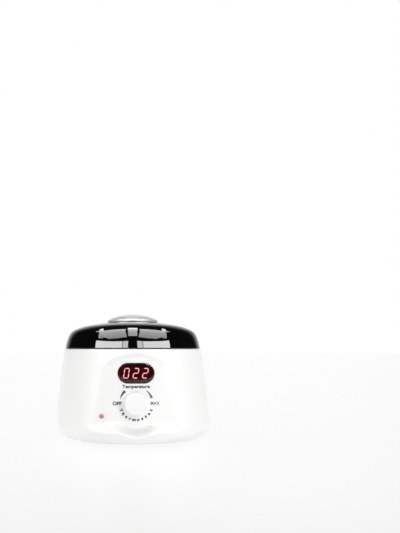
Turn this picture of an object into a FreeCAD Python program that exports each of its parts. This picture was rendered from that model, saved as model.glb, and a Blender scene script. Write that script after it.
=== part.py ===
import FreeCAD, Part
import math
import os
import re
import Sketcher

# Wax warmer pot: a flared round plastic housing with a flat arched control panel,
# a heated aluminium well, a lift-out wax pot with a bail handle, and a domed lid.
#
# Frame: millimetres, +Z up, the control panel faces -Y, X to the right as seen from
# the front. The origin is on the resting plane, on the vertical axis of the well.

Vector = FreeCAD.Vector
Rotation = FreeCAD.Rotation

UPRIGHT = Rotation()
OUT_OF_FRONT = Rotation(Vector(1, 0, 0), 90)
OUT_OF_REAR = Rotation(Vector(1, 0, 0), -90)
TO_THE_RIGHT = Rotation(Vector(0, 1, 0), 90)

# Driving dimensions in millimetres (angles in degrees), by the piece they belong to.
SIZES = {
    # housing shell: a cone that narrows upward, rounded into a flat underside
    "body_underside": 1.8,
    "body_foot_radius": 88.4,
    "body_top": 99.0,
    "body_top_radius": 76.9,
    "body_round": 17.0,
    "body_lip_round": 0.8,
    "shell_wall": 2.5,
    "base_opening": 66.0,
    "ledge_radius": 71.0,
    "ledge_bottom": 93.5,
    "ledge_top": 95.5,
    "boss_ring": 58.0,
    "boss_radius": 4.0,
    "boss_top": 34.0,
    "rib_bottom": 14.0,
    "rib_thickness": 2.0,
    "rib_reach": 26.0,
    # flat arched control panel, cut into the flare of the shell
    "panel_face": 73.0,
    "panel_cutter_margin": 10.0,
    "panel_cutter_reach": 6.0,
    "panel_cutter_lead": 3.0,
    "panel_half_width": 50.0,
    "panel_chin": 20.5,
    "chin_dip_half_width": 15.5,
    "chin_dip_radius": 24.6,
    "arch_radius": 55.0,
    "arch_centre": 39.0,
    # display window, module and board
    "display_centre": 74.4,
    "display_width": 37.5,
    "display_tall": 20.7,
    "window_clearance": 0.2,
    "window_cutter_depth": 10.0,
    "window_cutter_lead": 3.0,
    "display_proud": 0.5,
    "display_flange": 1.0,
    "module_width": 33.0,
    "module_tall": 15.5,
    "module_depth": 3.8,
    "module_gap": 0.2,
    "display_board_width": 52.0,
    "display_board_tall": 27.0,
    "board_thickness": 1.6,
    "display_post_side": 22.5,
    "display_post_rise": 10.5,
    "display_post_radius": 2.3,
    "chip_depth": 1.4,
    "chip_width": 10.0,
    "chip_height": 6.0,
    # knob, spindle and thermostat
    "knob_centre": 44.0,
    "knob_gap": 0.4,
    "knob_radius": 12.25,
    "knob_front_radius": 11.5,
    "knob_length": 15.1,
    "knob_round": 1.6,
    "knob_recess_radius": 8.6,
    "knob_recess_depth": 4.4,
    "knob_bore": 3.6,
    "knob_bore_depth": 12.5,
    "spindle_radius": 3.0,
    "spindle_front": 84.5,
    "spindle_back": 62.3,
    "spindle_flat": 1.6,
    "spindle_flat_length": 8.0,
    "spindle_clearance": 0.05,
    "clip_wall": 0.45,
    "clip_length": 7.0,
    "bushing_radius": 4.5,
    "bushing_front": 76.0,
    "bushing_clearance": 0.15,
    "nut_circumradius": 6.6,
    "nut_thickness": 2.2,
    "thermostat_width": 28.0,
    "thermostat_depth": 11.0,
    "thermostat_tall": 28.0,
    "thermostat_over_axis": 6.0,
    "tab_width": 4.8,
    "tab_length": 7.5,
    "tab_place": 7.0,
    "tab_thickness": 0.8,
    # pilot light at the lower left of the panel
    "pilot_side": 35.0,
    "pilot_centre": 31.0,
    "pilot_radius": 2.5,
    "pilot_back": 66.0,
    "pilot_proud": 1.2,
    "pilot_bore": 1.75,
    "pilot_bore_depth": 5.5,
    "lamp_radius": 1.6,
    "lamp_length": 6.5,
    "pilot_clip_radius": 5.0,
    "pilot_clip_thickness": 0.8,
    # collar, well, heater and insulation
    "collar_outer": 74.0,
    "collar_inner": 57.8,
    "collar_top": 98.6,
    "collar_recess_radius": 63.2,
    "collar_recess_depth": 1.0,
    "collar_bead_inner": 70.4,
    "collar_bead_outer": 72.4,
    "collar_bead_height": 2.0,
    "well_inner": 56.3,
    "well_wall": 0.8,
    "well_flange": 62.8,
    "well_floor": 41.5,
    "well_round": 10.0,
    "heater_inner": 57.2,
    "heater_outer": 58.4,
    "heater_bottom": 56.0,
    "heater_height": 30.0,
    "heater_gap": 10.0,
    "heater_bolt_out": 4.0,
    "heater_bolt_hole": 30.0,
    "heater_bolt_spare": 4.0,
    "heater_nut_height": 2.0,
    "band_cutter_length": 20.0,
    "band_cutter_lead": 8.0,
    "heater_ear_reach": 7.0,
    "heater_ear_thickness": 1.2,
    "blanket_inner": 58.6,
    "blanket_outer": 60.8,
    "blanket_bottom": 54.0,
    "blanket_height": 39.0,
    "blanket_gap": 22.0,
    # heat shield, its posts, and the stud that holds the well down
    "shield_bottom": 36.5,
    "shield_thickness": 0.8,
    "shield_radius": 53.0,
    "post_ring": 47.0,
    "post_radius": 3.0,
    "stud_radius": 2.5,
    "stud_length": 10.5,
    "spacer_radius": 6.0,
    "well_nut_circumradius": 4.6,
    "well_nut_thickness": 2.6,
    "bulb_radius": 1.9,
    "bulb_length": 26.0,
    "bulb_side": 20.0,
    "fuse_length": 13.0,
    # base plate, feet, power board and what stands on it
    "base_radius": 65.7,
    "base_thickness": 2.5,
    "vent_width": 3.0,
    "vent_length": 16.0,
    "vent_ring": 20.0,
    "foot_ring": 45.0,
    "foot_radius": 7.0,
    "foot_stem": 2.1,
    "foot_stem_height": 2.3,
    "foot_round": 0.6,
    "standoff_side": 31.0,
    "standoff_front": -15.0,
    "standoff_back": 33.0,
    "standoff_radius": 3.0,
    "standoff_height": 5.2,
    "power_board_width": 70.0,
    "power_board_depth": 56.0,
    "power_board_centre": 9.0,
    "transformer_width": 30.0,
    "transformer_depth": 25.0,
    "transformer_height": 21.0,
    "relay_width": 16.0,
    "relay_depth": 20.0,
    "relay_height": 15.5,
    "capacitor_radius": 5.0,
    "capacitor_height": 14.0,
    "terminal_width": 26.0,
    "terminal_depth": 9.0,
    "terminal_height": 11.0,
    "terminal_x": 9.0,
    "terminal_y": -16.0,
    "terminal_pitch": 7.0,
    "terminal_entry": 1.6,
    "terminal_entry_height": 4.0,
    "transformer_x": 9.0,
    "transformer_y": 8.0,
    "relay_x": -19.0,
    "relay_y": 8.0,
    "capacitor_x": -20.0,
    "capacitor_y": -8.0,
    # cord gland at the rear and the clamp inside it
    "gland_centre": 20.0,
    "gland_bore": 3.3,
    "gland_barrel": 5.6,
    "gland_flange": 7.5,
    "gland_front": 88.5,
    "gland_cutter_length": 20.0,
    "gland_cutter_lead": 18.0,
    "gland_length": 9.5,
    "gland_flange_thickness": 2.3,
    "gland_lock_start": 1.3,
    "gland_lock_end": 3.3,
    "gland_lock_rise": 1.0,
    "clamp_width": 22.0,
    "clamp_depth": 8.0,
    "clamp_height": 7.0,
    "clamp_place": 54.0,
    "clamp_screw_inset": 3.0,
    "clamp_foot": 6.0,
    "clamp_foot_height": 2.5,
    "clamp_screw_length": 4.2,
    # fasteners: small screws for boards and clamps, larger ones for the base
    "small_screw_head": 2.4,
    "small_screw_head_height": 1.5,
    "small_screw_shank": 1.2,
    "small_screw_length": 5.0,
    "base_screw_head": 3.2,
    "base_screw_head_height": 1.6,
    "base_screw_shank": 1.6,
    "base_screw_length": 11.0,
    "screw_slot": 0.7,
    "screw_slot_depth": 0.8,
    # lift-out wax pot with riveted handle lugs
    "pot_inner": 54.5,
    "pot_wall": 1.0,
    "pot_floor": 43.4,
    "pot_round": 10.0,
    "pot_rim_outer": 64.4,
    "pot_bead": 2.4,
    "pot_bead_round": 1.1,
    "lug_inner": 55.8,
    "lug_ear": 60.1,
    "lug_ear_thickness": 1.4,
    "lug_width": 13.0,
    "lug_thickness": 1.0,
    "lug_rise": 7.0,
    "rivet_place": 58.3,
    "rivet_spread": 4.6,
    "rivet_shank": 1.1,
    "rivet_head": 1.9,
    "rivet_head_height": 0.7,
    # bail handle of round wire, folded back on the rim
    "wire_radius": 1.4,
    "wire_clearance": 0.08,
    "bail_radius": 57.0,
    "bail_bend": 3.0,
    "bail_pivot": 103.3,
    "bail_pin": 2.6,
    "bail_head": 2.0,
    "bail_head_length": 1.0,
    # lid: a leaning side wall, a broad rounded shoulder and a shallow crown
    "lid_base": 99.3,
    "lid_radius": 75.6,
    "lid_shoulder": 70.75,
    "lid_shoulder_height": 21.27,
    "lid_crown_height": 31.0,
    "lid_crown_radius": 262.1,
    "lid_round": 22.0,
    "lid_wall": 2.2,
    "lid_hole_length": 10.0,
    "lid_hollow_radius": 73.34,
    "lid_hollow_shoulder": 68.9,
    "lid_hollow_shoulder_height": 19.49,
    "cap_radius": 28.0,
    "cap_edge": 1.2,
    "cap_lip_gap": 0.4,
    "cap_lip_width": 1.0,
    "cap_bottom": 129.8,
    "cap_rise": 7.0,
    "cap_dome_radius": 59.5,
    "cap_seat": 12.0,
    "cap_screw_length": 9.0,
    "cap_screw_grip": 5.0,
    "cap_washer_radius": 5.5,
    "cap_washer_thickness": 1.0,
}

doc = FreeCAD.newDocument("WaxWarmerPot")


def make_sheet():
    """Write every driving dimension to the spreadsheet: its name, value and alias."""
    table = doc.addObject("Spreadsheet::Sheet", "Sizes")
    for row, (name, number) in enumerate(SIZES.items(), start=1):
        table.set("A%d" % row, name)
        table.set("B%d" % row, str(number))
        table.setAlias("B%d" % row, name)
    doc.recompute()
    return table


sheet = make_sheet()
sub_parts = {}


# ---------------------------------------------------------------- shared helpers


def sized(text):
    """Turn the sheet's names in a formula into references to the sheet."""
    return re.sub(r"[a-z_]+", lambda word: "Sizes." + word[0] if word[0] in SIZES else word[0], str(text))


def amount(text):
    """Give the number that a formula in the sheet's names comes to."""
    return float(sheet.evalExpression(str(text)))


def bind(item, **formulas):
    """Tie an object's properties to formulas in the sheet's names."""
    for prop, text in formulas.items():
        item.setExpression(prop, sized(text))
    return item


def place(item, x=0, y=0, z=0, turn=UPRIGHT):
    """Turn an object and tie its position to formulas in the sheet's names."""
    item.Placement = FreeCAD.Placement(Vector(), turn)
    for letter, text in zip("xyz", (x, y, z)):
        item.setExpression(".Placement.Base." + letter, sized(text))
    return item


def keep(label, item):
    """Name a finished sub-part; the label is also the name of its file."""
    item.Label = label
    sub_parts[label] = item
    return item


def cylinder(radius, height, x=0, y=0, z=0, turn=UPRIGHT):
    """Make a round bar whose lower end is at x, y, z."""
    item = doc.addObject("Part::Cylinder", "Bar")
    bind(item, Radius=radius, Height=height)
    return place(item, x, y, z, turn)


def block(width, depth, height, x=0, y=0, z=0):
    """Make a box centred on x, standing on z, with its front face at y."""
    item = doc.addObject("Part::Box", "Block")
    bind(item, Length=width, Width=depth, Height=height)
    return place(item, "%s - (%s) / 2" % (x, width), y, z)


def prism(circumradius, height, x=0, y=0, z=0, turn=UPRIGHT):
    """Make a hexagonal bar."""
    item = doc.addObject("Part::Prism", "Hexagon")
    item.Polygon = 6
    bind(item, Circumradius=circumradius, Height=height)
    return place(item, x, y, z, turn)


def bend(radius, wire, sweep, x=0, y=0, z=0, start=0):
    """Make an arc of round wire that lies flat, from the start angle on."""
    item = doc.addObject("Part::Torus", "Bend")
    item.Angle3 = sweep
    bind(item, Radius1=radius, Radius2=wire)
    return place(item, x, y, z, Rotation(Vector(0, 0, 1), start))


def cut(base, *tools):
    """Take the tools away from the base."""
    item = doc.addObject("Part::Cut", "Cut")
    item.Base = base
    item.Tool = tools[0] if len(tools) == 1 else join(*tools)
    return item


def join(*items):
    """Make one solid of several that meet."""
    item = doc.addObject("Part::MultiFuse", "Joined")
    item.Shapes = list(items)
    return item


def tube(outer, inner, height, x=0, y=0, z=0, turn=UPRIGHT):
    """Make a round tube."""
    return cut(cylinder(outer, height, x, y, z, turn), cylinder(inner, height, x, y, z, turn))


def stadium(width, tall, depth, front, centre):
    """Make an upright plate with half-round ends, its front face at -Y = front."""
    half = "(%s) / 2" % tall
    side = "((%s) - (%s)) / 2" % (width, tall)
    back = "-(%s) + (%s)" % (front, depth)
    middle = block(
        "(%s) - (%s)" % (width, tall), depth, tall, 0, "-(%s)" % front, "%s - %s" % (centre, half)
    )
    ends = [
        cylinder(half, depth, "%s * (%s)" % (sign, side), back, centre, OUT_OF_FRONT)
        for sign in ("-1", "1")
    ]
    return join(middle, *ends)


def copies(label, master, places):
    """Repeat one piece at several places as separate solids of one node."""
    doc.recompute()
    shapes = []
    for x, y, z, angle in places:
        shape = master.Shape.copy()
        spin = Rotation(Vector(0, 0, 1), angle)
        shape.Placement = FreeCAD.Placement(Vector(x, y, z), spin) * shape.Placement
        shapes.append(shape)
    item = doc.addObject("Part::Feature", "Copies")
    item.Shape = Part.makeCompound(shapes)
    item.Placement = FreeCAD.Placement()
    return keep(label, item)


def on_ring(radius, height, angles):
    """List places at equal radius: x, y, z and the angle about the upright axis."""
    reach = amount(radius)
    rise = amount(height)
    turns = [math.radians(angle) for angle in angles]
    spots = [(reach * math.cos(turn), reach * math.sin(turn)) for turn in turns]
    return [(x, y, rise, angle) for (x, y), angle in zip(spots, angles)]


def body_sketch(body, role, name):
    """Add a sketch to a body on one of its own origin planes."""
    plane = [part for part in body.Origin.OriginFeatures if part.Role == role][0]
    sketch = body.newObject("Sketcher::SketchObject", name)
    sketch.AttachmentSupport = [(plane, "")]
    sketch.MapMode = "FlatFace"
    return sketch


def arc_middle(start, end, radius):
    """Find the middle of an arc; a positive radius bulges to the right of its travel."""
    chord = end - start
    half = chord.Length / 2
    rise = abs(radius) - math.sqrt(radius * radius - half * half)
    right = Vector(chord.y, -chord.x, 0).normalize()
    return (start + end) * 0.5 + right * math.copysign(rise, radius)


def draw_outline(sketch, corners):
    """Draw a closed outline; a corner's third value is the radius of the arc that leaves it."""
    points = [Vector(amount(corner[0]), amount(corner[1]), 0) for corner in corners]
    count = len(points)
    for index, corner in enumerate(corners):
        start = points[index]
        end = points[(index + 1) % count]
        if len(corner) == 3:
            middle = arc_middle(start, end, amount(corner[2]))
            sketch.addGeometry(Part.Arc(start, middle, end))
        else:
            sketch.addGeometry(Part.LineSegment(start, end))
    ends = [arc_ends(sketch.Geometry[index], points[index]) for index in range(count)]
    for index in range(count):
        following = (index + 1) % count
        pair = (index, ends[index][1], following, ends[following][0])
        sketch.addConstraint(Sketcher.Constraint("Coincident", *pair))
    for index, corner in enumerate(corners):
        for kind, text, value in zip(("DistanceX", "DistanceY"), corner, points[index]):
            pin_constraint(sketch, (kind, -1, 1, index, ends[index][0]), text, value)
        if len(corner) == 3:
            size = "abs(%s)" % corner[2]
            pin_constraint(sketch, ("Radius", index), size, amount(size))


def arc_ends(shape, start):
    """Tell which ends of an edge are its first and last on the way round the outline."""
    forward = (shape.StartPoint - start).Length < (shape.EndPoint - start).Length
    return (1, 2) if forward else (2, 1)


def pin_constraint(sketch, pieces, text, value):
    """Add one dimension to a sketch and tie it to a formula in the sheet's names."""
    number = sketch.addConstraint(Sketcher.Constraint(*pieces, value))
    sketch.setExpression("Constraints[%d]" % number, sized(text))


def turned(corners, name="Turned"):
    """Make a body of revolution about its upright axis from (radius, height) corners."""
    body = doc.addObject("PartDesign::Body", name)
    sketch = body_sketch(body, "XZ_Plane", name + "Profile")
    draw_outline(sketch, corners)
    revolution = body.newObject("PartDesign::Revolution", name + "Revolution")
    revolution.Profile = sketch
    revolution.ReferenceAxis = (sketch, ["V_Axis"])
    revolution.Angle = 360
    doc.recompute()
    return body


def ring_edge(radius, height):
    """Make a test for the circular edge of this radius at this height."""
    wanted = (amount(radius), amount(height))

    def matches(edge):
        if edge.Degenerated or not isinstance(edge.Curve, Part.Circle):
            return False
        found = (edge.Curve.Radius, edge.Curve.Center.z)
        return max(abs(a - b) for a, b in zip(found, wanted)) < 0.01

    return matches


def round_edges(body, radius, *tests):
    """Round the edges of the body's tip that any test accepts."""
    base = body.Tip
    chosen = [
        "Edge%d" % number
        for number, edge in enumerate(base.Shape.Edges, start=1)
        if any(test(edge) for test in tests)
    ]
    fillet = body.newObject("PartDesign::Fillet", "Round")
    fillet.Base = (base, chosen)
    bind(fillet, Radius=radius)
    body.Tip = fillet
    doc.recompute()


# ---------------------------------------------------------------- housing shell


def flare(height):
    """Give the shell's outer radius at a height, as a formula."""
    lean = "(body_foot_radius - body_top_radius) / (body_top - body_underside)"
    return "(body_foot_radius - ((%s) - body_underside) * %s)" % (height, lean)


def shell_outside():
    """Make the full outer form, with the arched panel cut flat into its front."""
    body = turned(
        [
            (0, "body_underside"),
            ("body_foot_radius", "body_underside"),
            ("body_top_radius", "body_top"),
            (0, "body_top"),
        ],
        "Outside",
    )
    round_edges(body, "body_round", ring_edge("body_foot_radius", "body_underside"))
    round_edges(body, "body_lip_round", ring_edge("body_top_radius", "body_top"))
    before = body.Shape.Volume
    sketch = body_sketch(body, "XZ_Plane", "ArchOutline")
    sketch.setExpression(".AttachmentOffset.Base.z", sized("panel_face"))
    spring = "arch_centre + sqrt(arch_radius ^ 2 - panel_half_width ^ 2)"
    draw_outline(
        sketch,
        [
            ("-panel_half_width", "panel_chin"),
            ("-chin_dip_half_width", "panel_chin", "chin_dip_radius"),
            ("chin_dip_half_width", "panel_chin"),
            ("panel_half_width", "panel_chin"),
            ("panel_half_width", spring, "arch_radius"),
            ("-panel_half_width", spring),
        ],
    )
    pocket = body.newObject("PartDesign::Pocket", "PanelFlat")
    pocket.Profile = sketch
    pocket.Type = "ThroughAll"
    pocket.Reversed = True
    body.Tip = pocket
    doc.recompute()
    if body.Shape.Volume > before - 1:
        raise RuntimeError("the panel pocket cut nothing")
    return body


def shell_cavity():
    """Make the room inside the shell, with the ledge that carries the collar."""
    floor = "body_underside + shell_wall"
    body = turned(
        [
            (0, floor),
            (flare(floor) + " - shell_wall", floor),
            (flare("ledge_bottom") + " - shell_wall", "ledge_bottom"),
            ("ledge_radius", "ledge_bottom"),
            ("ledge_radius", "ledge_top"),
            (flare("ledge_top") + " - shell_wall", "ledge_top"),
            (flare("body_top + 1") + " - shell_wall", "body_top + 1"),
            (0, "body_top + 1"),
        ],
        "Cavity",
    )
    round_edges(body, "body_round - shell_wall", ring_edge(flare(floor) + " - shell_wall", floor))
    behind_panel = block(
        "2 * (panel_half_width + panel_cutter_margin)",
        "body_foot_radius - panel_face + shell_wall",
        "ledge_top",
        0,
        "-body_foot_radius",
    )
    return cut(body, behind_panel)


def shell_boss(angle):
    """Make one screw boss with the rib that ties it to the wall."""
    turn = Rotation(Vector(0, 0, 1), angle)
    floor = "body_underside + shell_wall"
    east = "cos(%d)" % angle
    north = "sin(%d)" % angle
    post = cylinder(
        "boss_radius", "boss_top - (%s)" % floor, "boss_ring * " + east, "boss_ring * " + north, floor
    )
    rib = doc.addObject("Part::Box", "Rib")
    bind(rib, Length="rib_reach", Width="rib_thickness", Height="boss_top - rib_bottom")
    place(
        rib,
        "boss_ring * %s + rib_thickness / 2 * %s" % (east, north),
        "boss_ring * %s - rib_thickness / 2 * %s" % (north, east),
        "rib_bottom",
        turn,
    )
    return join(post, rib)


def display_places():
    """List the four posts that carry the display board, as x and z formulas."""
    return [
        ("%d * display_post_side" % side, "display_centre + %d * display_post_rise" % rise)
        for side in (-1, 1)
        for rise in (-1, 1)
    ]


DISPLAY_BOARD_FRONT = "(panel_face - shell_wall - display_flange - module_gap - module_depth)"
BOSS_ANGLES = (45, 135, 225, 315)


def make_body_shell():
    hollow = cut(shell_outside(), shell_cavity())
    bosses = [shell_boss(angle) for angle in BOSS_ANGLES]
    posts = [
        cylinder(
            "display_post_radius",
            "panel_face - 1 - %s" % DISPLAY_BOARD_FRONT,
            x,
            "-" + DISPLAY_BOARD_FRONT,
            z,
            OUT_OF_FRONT,
        )
        for x, z in display_places()
    ]
    solid = join(hollow, *bosses, *posts)
    base_hole = cylinder("base_opening", "body_underside + shell_wall + 1", 0, 0, 0)
    screw_holes = [
        cylinder(
            "base_screw_shank",
            "base_screw_length",
            "boss_ring * cos(%d)" % angle,
            "boss_ring * sin(%d)" % angle,
        )
        for angle in BOSS_ANGLES
    ]
    post_holes = [
        cylinder(
            "small_screw_shank", "small_screw_length", x, "1 - " + DISPLAY_BOARD_FRONT, z, OUT_OF_FRONT
        )
        for x, z in display_places()
    ]
    window = stadium(
        "display_width + window_clearance",
        "display_tall + window_clearance",
        "window_cutter_depth",
        "panel_face + window_cutter_lead",
        "display_centre",
    )
    reach = "shell_wall + panel_cutter_reach"
    back = "-(panel_face - shell_wall - panel_cutter_lead)"
    shaft_hole = cylinder(
        "bushing_radius + bushing_clearance", reach, 0, back, "knob_centre", OUT_OF_FRONT
    )
    pilot_hole = cylinder("pilot_radius + 0.1", reach, "-pilot_side", back, "pilot_centre", OUT_OF_FRONT)
    gland_hole = cylinder(
        "gland_barrel + 0.1",
        "gland_cutter_length",
        0,
        "gland_front - gland_cutter_lead",
        "gland_centre",
        OUT_OF_REAR,
    )
    holes = [base_hole, window, shaft_hole, pilot_hole, gland_hole]
    keep("body_shell", cut(solid, *holes, *screw_holes, *post_holes))


# ---------------------------------------------------------------- base and feet


POST_ANGLES = (30, 150, 270)


def board_places():
    """List the standoffs that carry the power board."""
    sides = (-amount("standoff_side"), amount("standoff_side"))
    return [(side, amount(row)) for side in sides for row in ("standoff_front", "standoff_back")]


def circle_pocket(body, name, radius, x, y, length):
    """Sink a round hole into the underside of a body that starts at its XY plane."""
    sketch = body_sketch(body, "XY_Plane", name + "Outline")
    number = sketch.addGeometry(
        Part.Circle(Vector(amount(x), amount(y), 0), Vector(0, 0, 1), amount(radius))
    )
    pin_constraint(sketch, ("Radius", number), radius, amount(radius))
    pin_constraint(sketch, ("DistanceX", -1, 1, number, 3), x, amount(x))
    pin_constraint(sketch, ("DistanceY", -1, 1, number, 3), y, amount(y))
    pocket = body.newObject("PartDesign::Pocket", name)
    pocket.Profile = sketch
    pocket.Reversed = True
    bind(pocket, Length=length)
    body.Tip = pocket
    doc.recompute()
    return pocket


def pattern(body, pockets, count):
    """Repeat features evenly about the body's upright axis."""
    axis = [part for part in body.Origin.OriginFeatures if part.Role == "Z_Axis"][0]
    repeat = body.newObject("PartDesign::PolarPattern", "Repeat")
    repeat.Originals = pockets
    repeat.Axis = (axis, [""])
    repeat.Angle = 360
    repeat.Occurrences = count
    body.Tip = repeat
    doc.recompute()


def make_base_plate():
    """Make the vented plate that closes the bottom, with standoffs for the power board."""
    body = doc.addObject("PartDesign::Body", "Plate")
    sketch = body_sketch(body, "XY_Plane", "PlateOutline")
    number = sketch.addGeometry(Part.Circle(Vector(), Vector(0, 0, 1), amount("base_radius")))
    sketch.addConstraint(Sketcher.Constraint("Coincident", number, 3, -1, 1))
    pin_constraint(sketch, ("Radius", number), "base_radius", amount("base_radius"))
    pad = body.newObject("PartDesign::Pad", "PlatePad")
    pad.Profile = sketch
    bind(pad, Length="base_thickness")
    doc.recompute()
    vent = body_sketch(body, "XY_Plane", "VentOutline")
    far = "vent_ring + vent_length / 2"
    near = "vent_ring - vent_length / 2"
    half = "vent_width / 2"
    draw_outline(vent, [(near, "-" + half), (far, "-" + half), (far, half), (near, half)])
    slot = body.newObject("PartDesign::Pocket", "Vent")
    slot.Profile = vent
    slot.Reversed = True
    bind(slot, Length="base_thickness")
    body.Tip = slot
    doc.recompute()
    pattern(body, [slot], 12)
    diagonal = "boss_ring * cos(45)"
    through = circle_pocket(
        body, "ScrewHole", "base_screw_shank + 0.2", diagonal, diagonal, "base_thickness"
    )
    sink = circle_pocket(
        body, "ScrewSink", "base_screw_head + 0.2", diagonal, diagonal, "base_screw_head_height"
    )
    pattern(body, [through, sink], 4)
    foot = "foot_ring * cos(45)"
    stem = circle_pocket(body, "FootHole", "foot_stem + 0.05", foot, foot, "base_thickness")
    pattern(body, [stem], 4)
    post_hole = circle_pocket(
        body,
        "PostHole",
        "small_screw_shank + 0.1",
        "post_ring * cos(30)",
        "post_ring * sin(30)",
        "base_thickness",
    )
    post_sink = circle_pocket(
        body,
        "PostSink",
        "small_screw_head + 0.1",
        "post_ring * cos(30)",
        "post_ring * sin(30)",
        "small_screw_head_height",
    )
    pattern(body, [post_hole, post_sink], 3)
    place(body, 0, 0, "body_underside")
    top = "body_underside + base_thickness"
    standoffs = [cylinder("standoff_radius", "standoff_height", x, y, top) for x, y in board_places()]
    holes = [
        cylinder("small_screw_shank", "standoff_height", x, y, top + " + 0.4")
        for x, y in board_places()
    ]
    clamp_holes = [
        cylinder(
            "small_screw_shank",
            "base_thickness",
            "%d * (clamp_width / 2 - clamp_screw_inset)" % side,
            "clamp_place",
            top + " - 2",
        )
        for side in (-1, 1)
    ]
    keep("base_plate", cut(join(body, *standoffs), *holes, *clamp_holes))


def make_rubber_feet():
    """Make four push-in feet that reach from the resting plane to the base plate."""
    foot = turned(
        [
            (0, 0),
            ("foot_radius", 0),
            ("foot_radius", "body_underside"),
            ("foot_stem", "body_underside"),
            ("foot_stem", "body_underside + foot_stem_height"),
            (0, "body_underside + foot_stem_height"),
        ],
        "Foot",
    )
    round_edges(foot, "foot_round", ring_edge("foot_radius", 0))
    copies("rubber_feet", foot, on_ring("foot_ring", 0, BOSS_ANGLES))


def screw(head, head_height, shank, length):
    """Make a cross-headed screw standing on its head, with its shank pointing up."""
    solid = join(cylinder(head, head_height), cylinder(shank, "(%s) + (%s)" % (head_height, length)))
    arms = [
        block("1.3 * (%s)" % head, "screw_slot", "screw_slot_depth", 0, "-screw_slot / 2"),
        block("screw_slot", "1.3 * (%s)" % head, "screw_slot_depth", 0, "-0.65 * (%s)" % head),
    ]
    return cut(solid, *arms)


def small_screw():
    """Make the screw used on boards, posts and the cord clamp."""
    return screw(
        "small_screw_head", "small_screw_head_height", "small_screw_shank - 0.02", "small_screw_length"
    )


def make_base_screws():
    """Make the four screws that hold the base plate to the shell's bosses."""
    length = "base_screw_length - base_screw_head_height - body_underside"
    master = screw(
        "base_screw_head", "base_screw_head_height", "base_screw_shank - 0.02", length + " - 0.5"
    )
    copies("base_screws", master, on_ring("boss_ring", "body_underside", BOSS_ANGLES))


# ---------------------------------------------------------------- collar and well


def make_collar_ring():
    """Make the heat-resistant ring between the shell, the well and the lid."""
    body = turned(
        [
            ("collar_inner", "ledge_top"),
            ("collar_outer", "ledge_top"),
            ("collar_outer", "collar_top"),
            ("collar_bead_outer", "collar_top"),
            ("collar_bead_outer", "collar_top + collar_bead_height"),
            ("collar_bead_inner", "collar_top + collar_bead_height"),
            ("collar_bead_inner", "collar_top"),
            ("collar_recess_radius", "collar_top"),
            ("collar_recess_radius", "collar_top - collar_recess_depth"),
            ("collar_inner", "collar_top - collar_recess_depth"),
        ],
        "Collar",
    )
    bead_top = "collar_top + collar_bead_height"
    round_edges(
        body, "0.7", ring_edge("collar_bead_outer", bead_top), ring_edge("collar_bead_inner", bead_top)
    )
    keep("collar_ring", body)


def make_heater_well():
    """Make the drawn aluminium well that hangs by its flange in the collar."""
    outer = "well_inner + well_wall"
    top = "collar_top - collar_recess_depth + well_wall"
    seat = "collar_top - collar_recess_depth"
    body = turned(
        [
            (0, "well_floor"),
            (outer, "well_floor"),
            (outer, seat),
            ("well_flange", seat),
            ("well_flange", top),
            ("well_inner", top),
            ("well_inner", "well_floor + well_wall"),
            (0, "well_floor + well_wall"),
        ],
        "Well",
    )
    round_edges(body, "well_round", ring_edge(outer, "well_floor"))
    round_edges(body, "well_round - well_wall", ring_edge("well_inner", "well_floor + well_wall"))
    keep("heater_well", body)


def make_band_heater():
    """Make the split mica band that clamps round the well, its ends turned out at the rear."""
    band = tube("heater_outer", "heater_inner", "heater_height", 0, 0, "heater_bottom")
    gap = block(
        "heater_gap",
        "band_cutter_length",
        "heater_height",
        0,
        "heater_inner - band_cutter_lead",
        "heater_bottom",
    )
    ears = [
        block(
            "heater_ear_thickness",
            "heater_ear_reach",
            "heater_height",
            "%d * (heater_gap + heater_ear_thickness) / 2" % side,
            "heater_inner - 0.2",
            "heater_bottom",
        )
        for side in (-1, 1)
    ]
    bolt_hole = cylinder(
        "small_screw_shank + 0.1",
        "heater_bolt_hole",
        "-heater_bolt_hole / 2",
        "heater_inner + heater_bolt_out",
        "heater_bottom + heater_height / 2",
        TO_THE_RIGHT,
    )
    keep("band_heater", cut(join(cut(band, gap), *ears), bolt_hole))


def make_heater_bolt():
    """Make the bolt that pulls the band tight."""
    grip = "heater_gap + 2 * heater_ear_thickness"
    start = "-(%s) / 2" % grip
    y = "heater_inner + heater_bolt_out"
    z = "heater_bottom + heater_height / 2"
    shank = cylinder("small_screw_shank", "(%s) + heater_bolt_spare" % grip, start, y, z, TO_THE_RIGHT)
    head = cylinder(
        "small_screw_head",
        "small_screw_head_height",
        "(%s) - small_screw_head_height" % start,
        y,
        z,
        TO_THE_RIGHT,
    )
    nut = prism("small_screw_head + 0.2", "heater_nut_height", "(%s) / 2" % grip, y, z, TO_THE_RIGHT)
    keep("heater_bolt", join(head, shank, nut))


def make_insulation_blanket():
    """Make the mineral-fibre wrap round the heater, open at the rear for the band's ends."""
    wrap = tube("blanket_outer", "blanket_inner", "blanket_height", 0, 0, "blanket_bottom")
    gap = block(
        "blanket_gap",
        "band_cutter_length",
        "blanket_height",
        0,
        "blanket_inner - band_cutter_lead",
        "blanket_bottom",
    )
    keep("insulation_blanket", cut(wrap, gap))


def make_heat_shield():
    """Make the sheet disc that keeps the well's heat off the power board."""
    disc = cylinder("shield_radius", "shield_thickness", 0, 0, "shield_bottom")
    centre = cylinder("stud_radius + 0.1", "shield_thickness", 0, 0, "shield_bottom")
    holes = [
        cylinder(
            "small_screw_shank + 0.1",
            "shield_thickness",
            "post_ring * cos(%d)" % angle,
            "post_ring * sin(%d)" % angle,
            "shield_bottom",
        )
        for angle in POST_ANGLES
    ]
    keep("heat_shield", cut(disc, centre, *holes))


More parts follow.
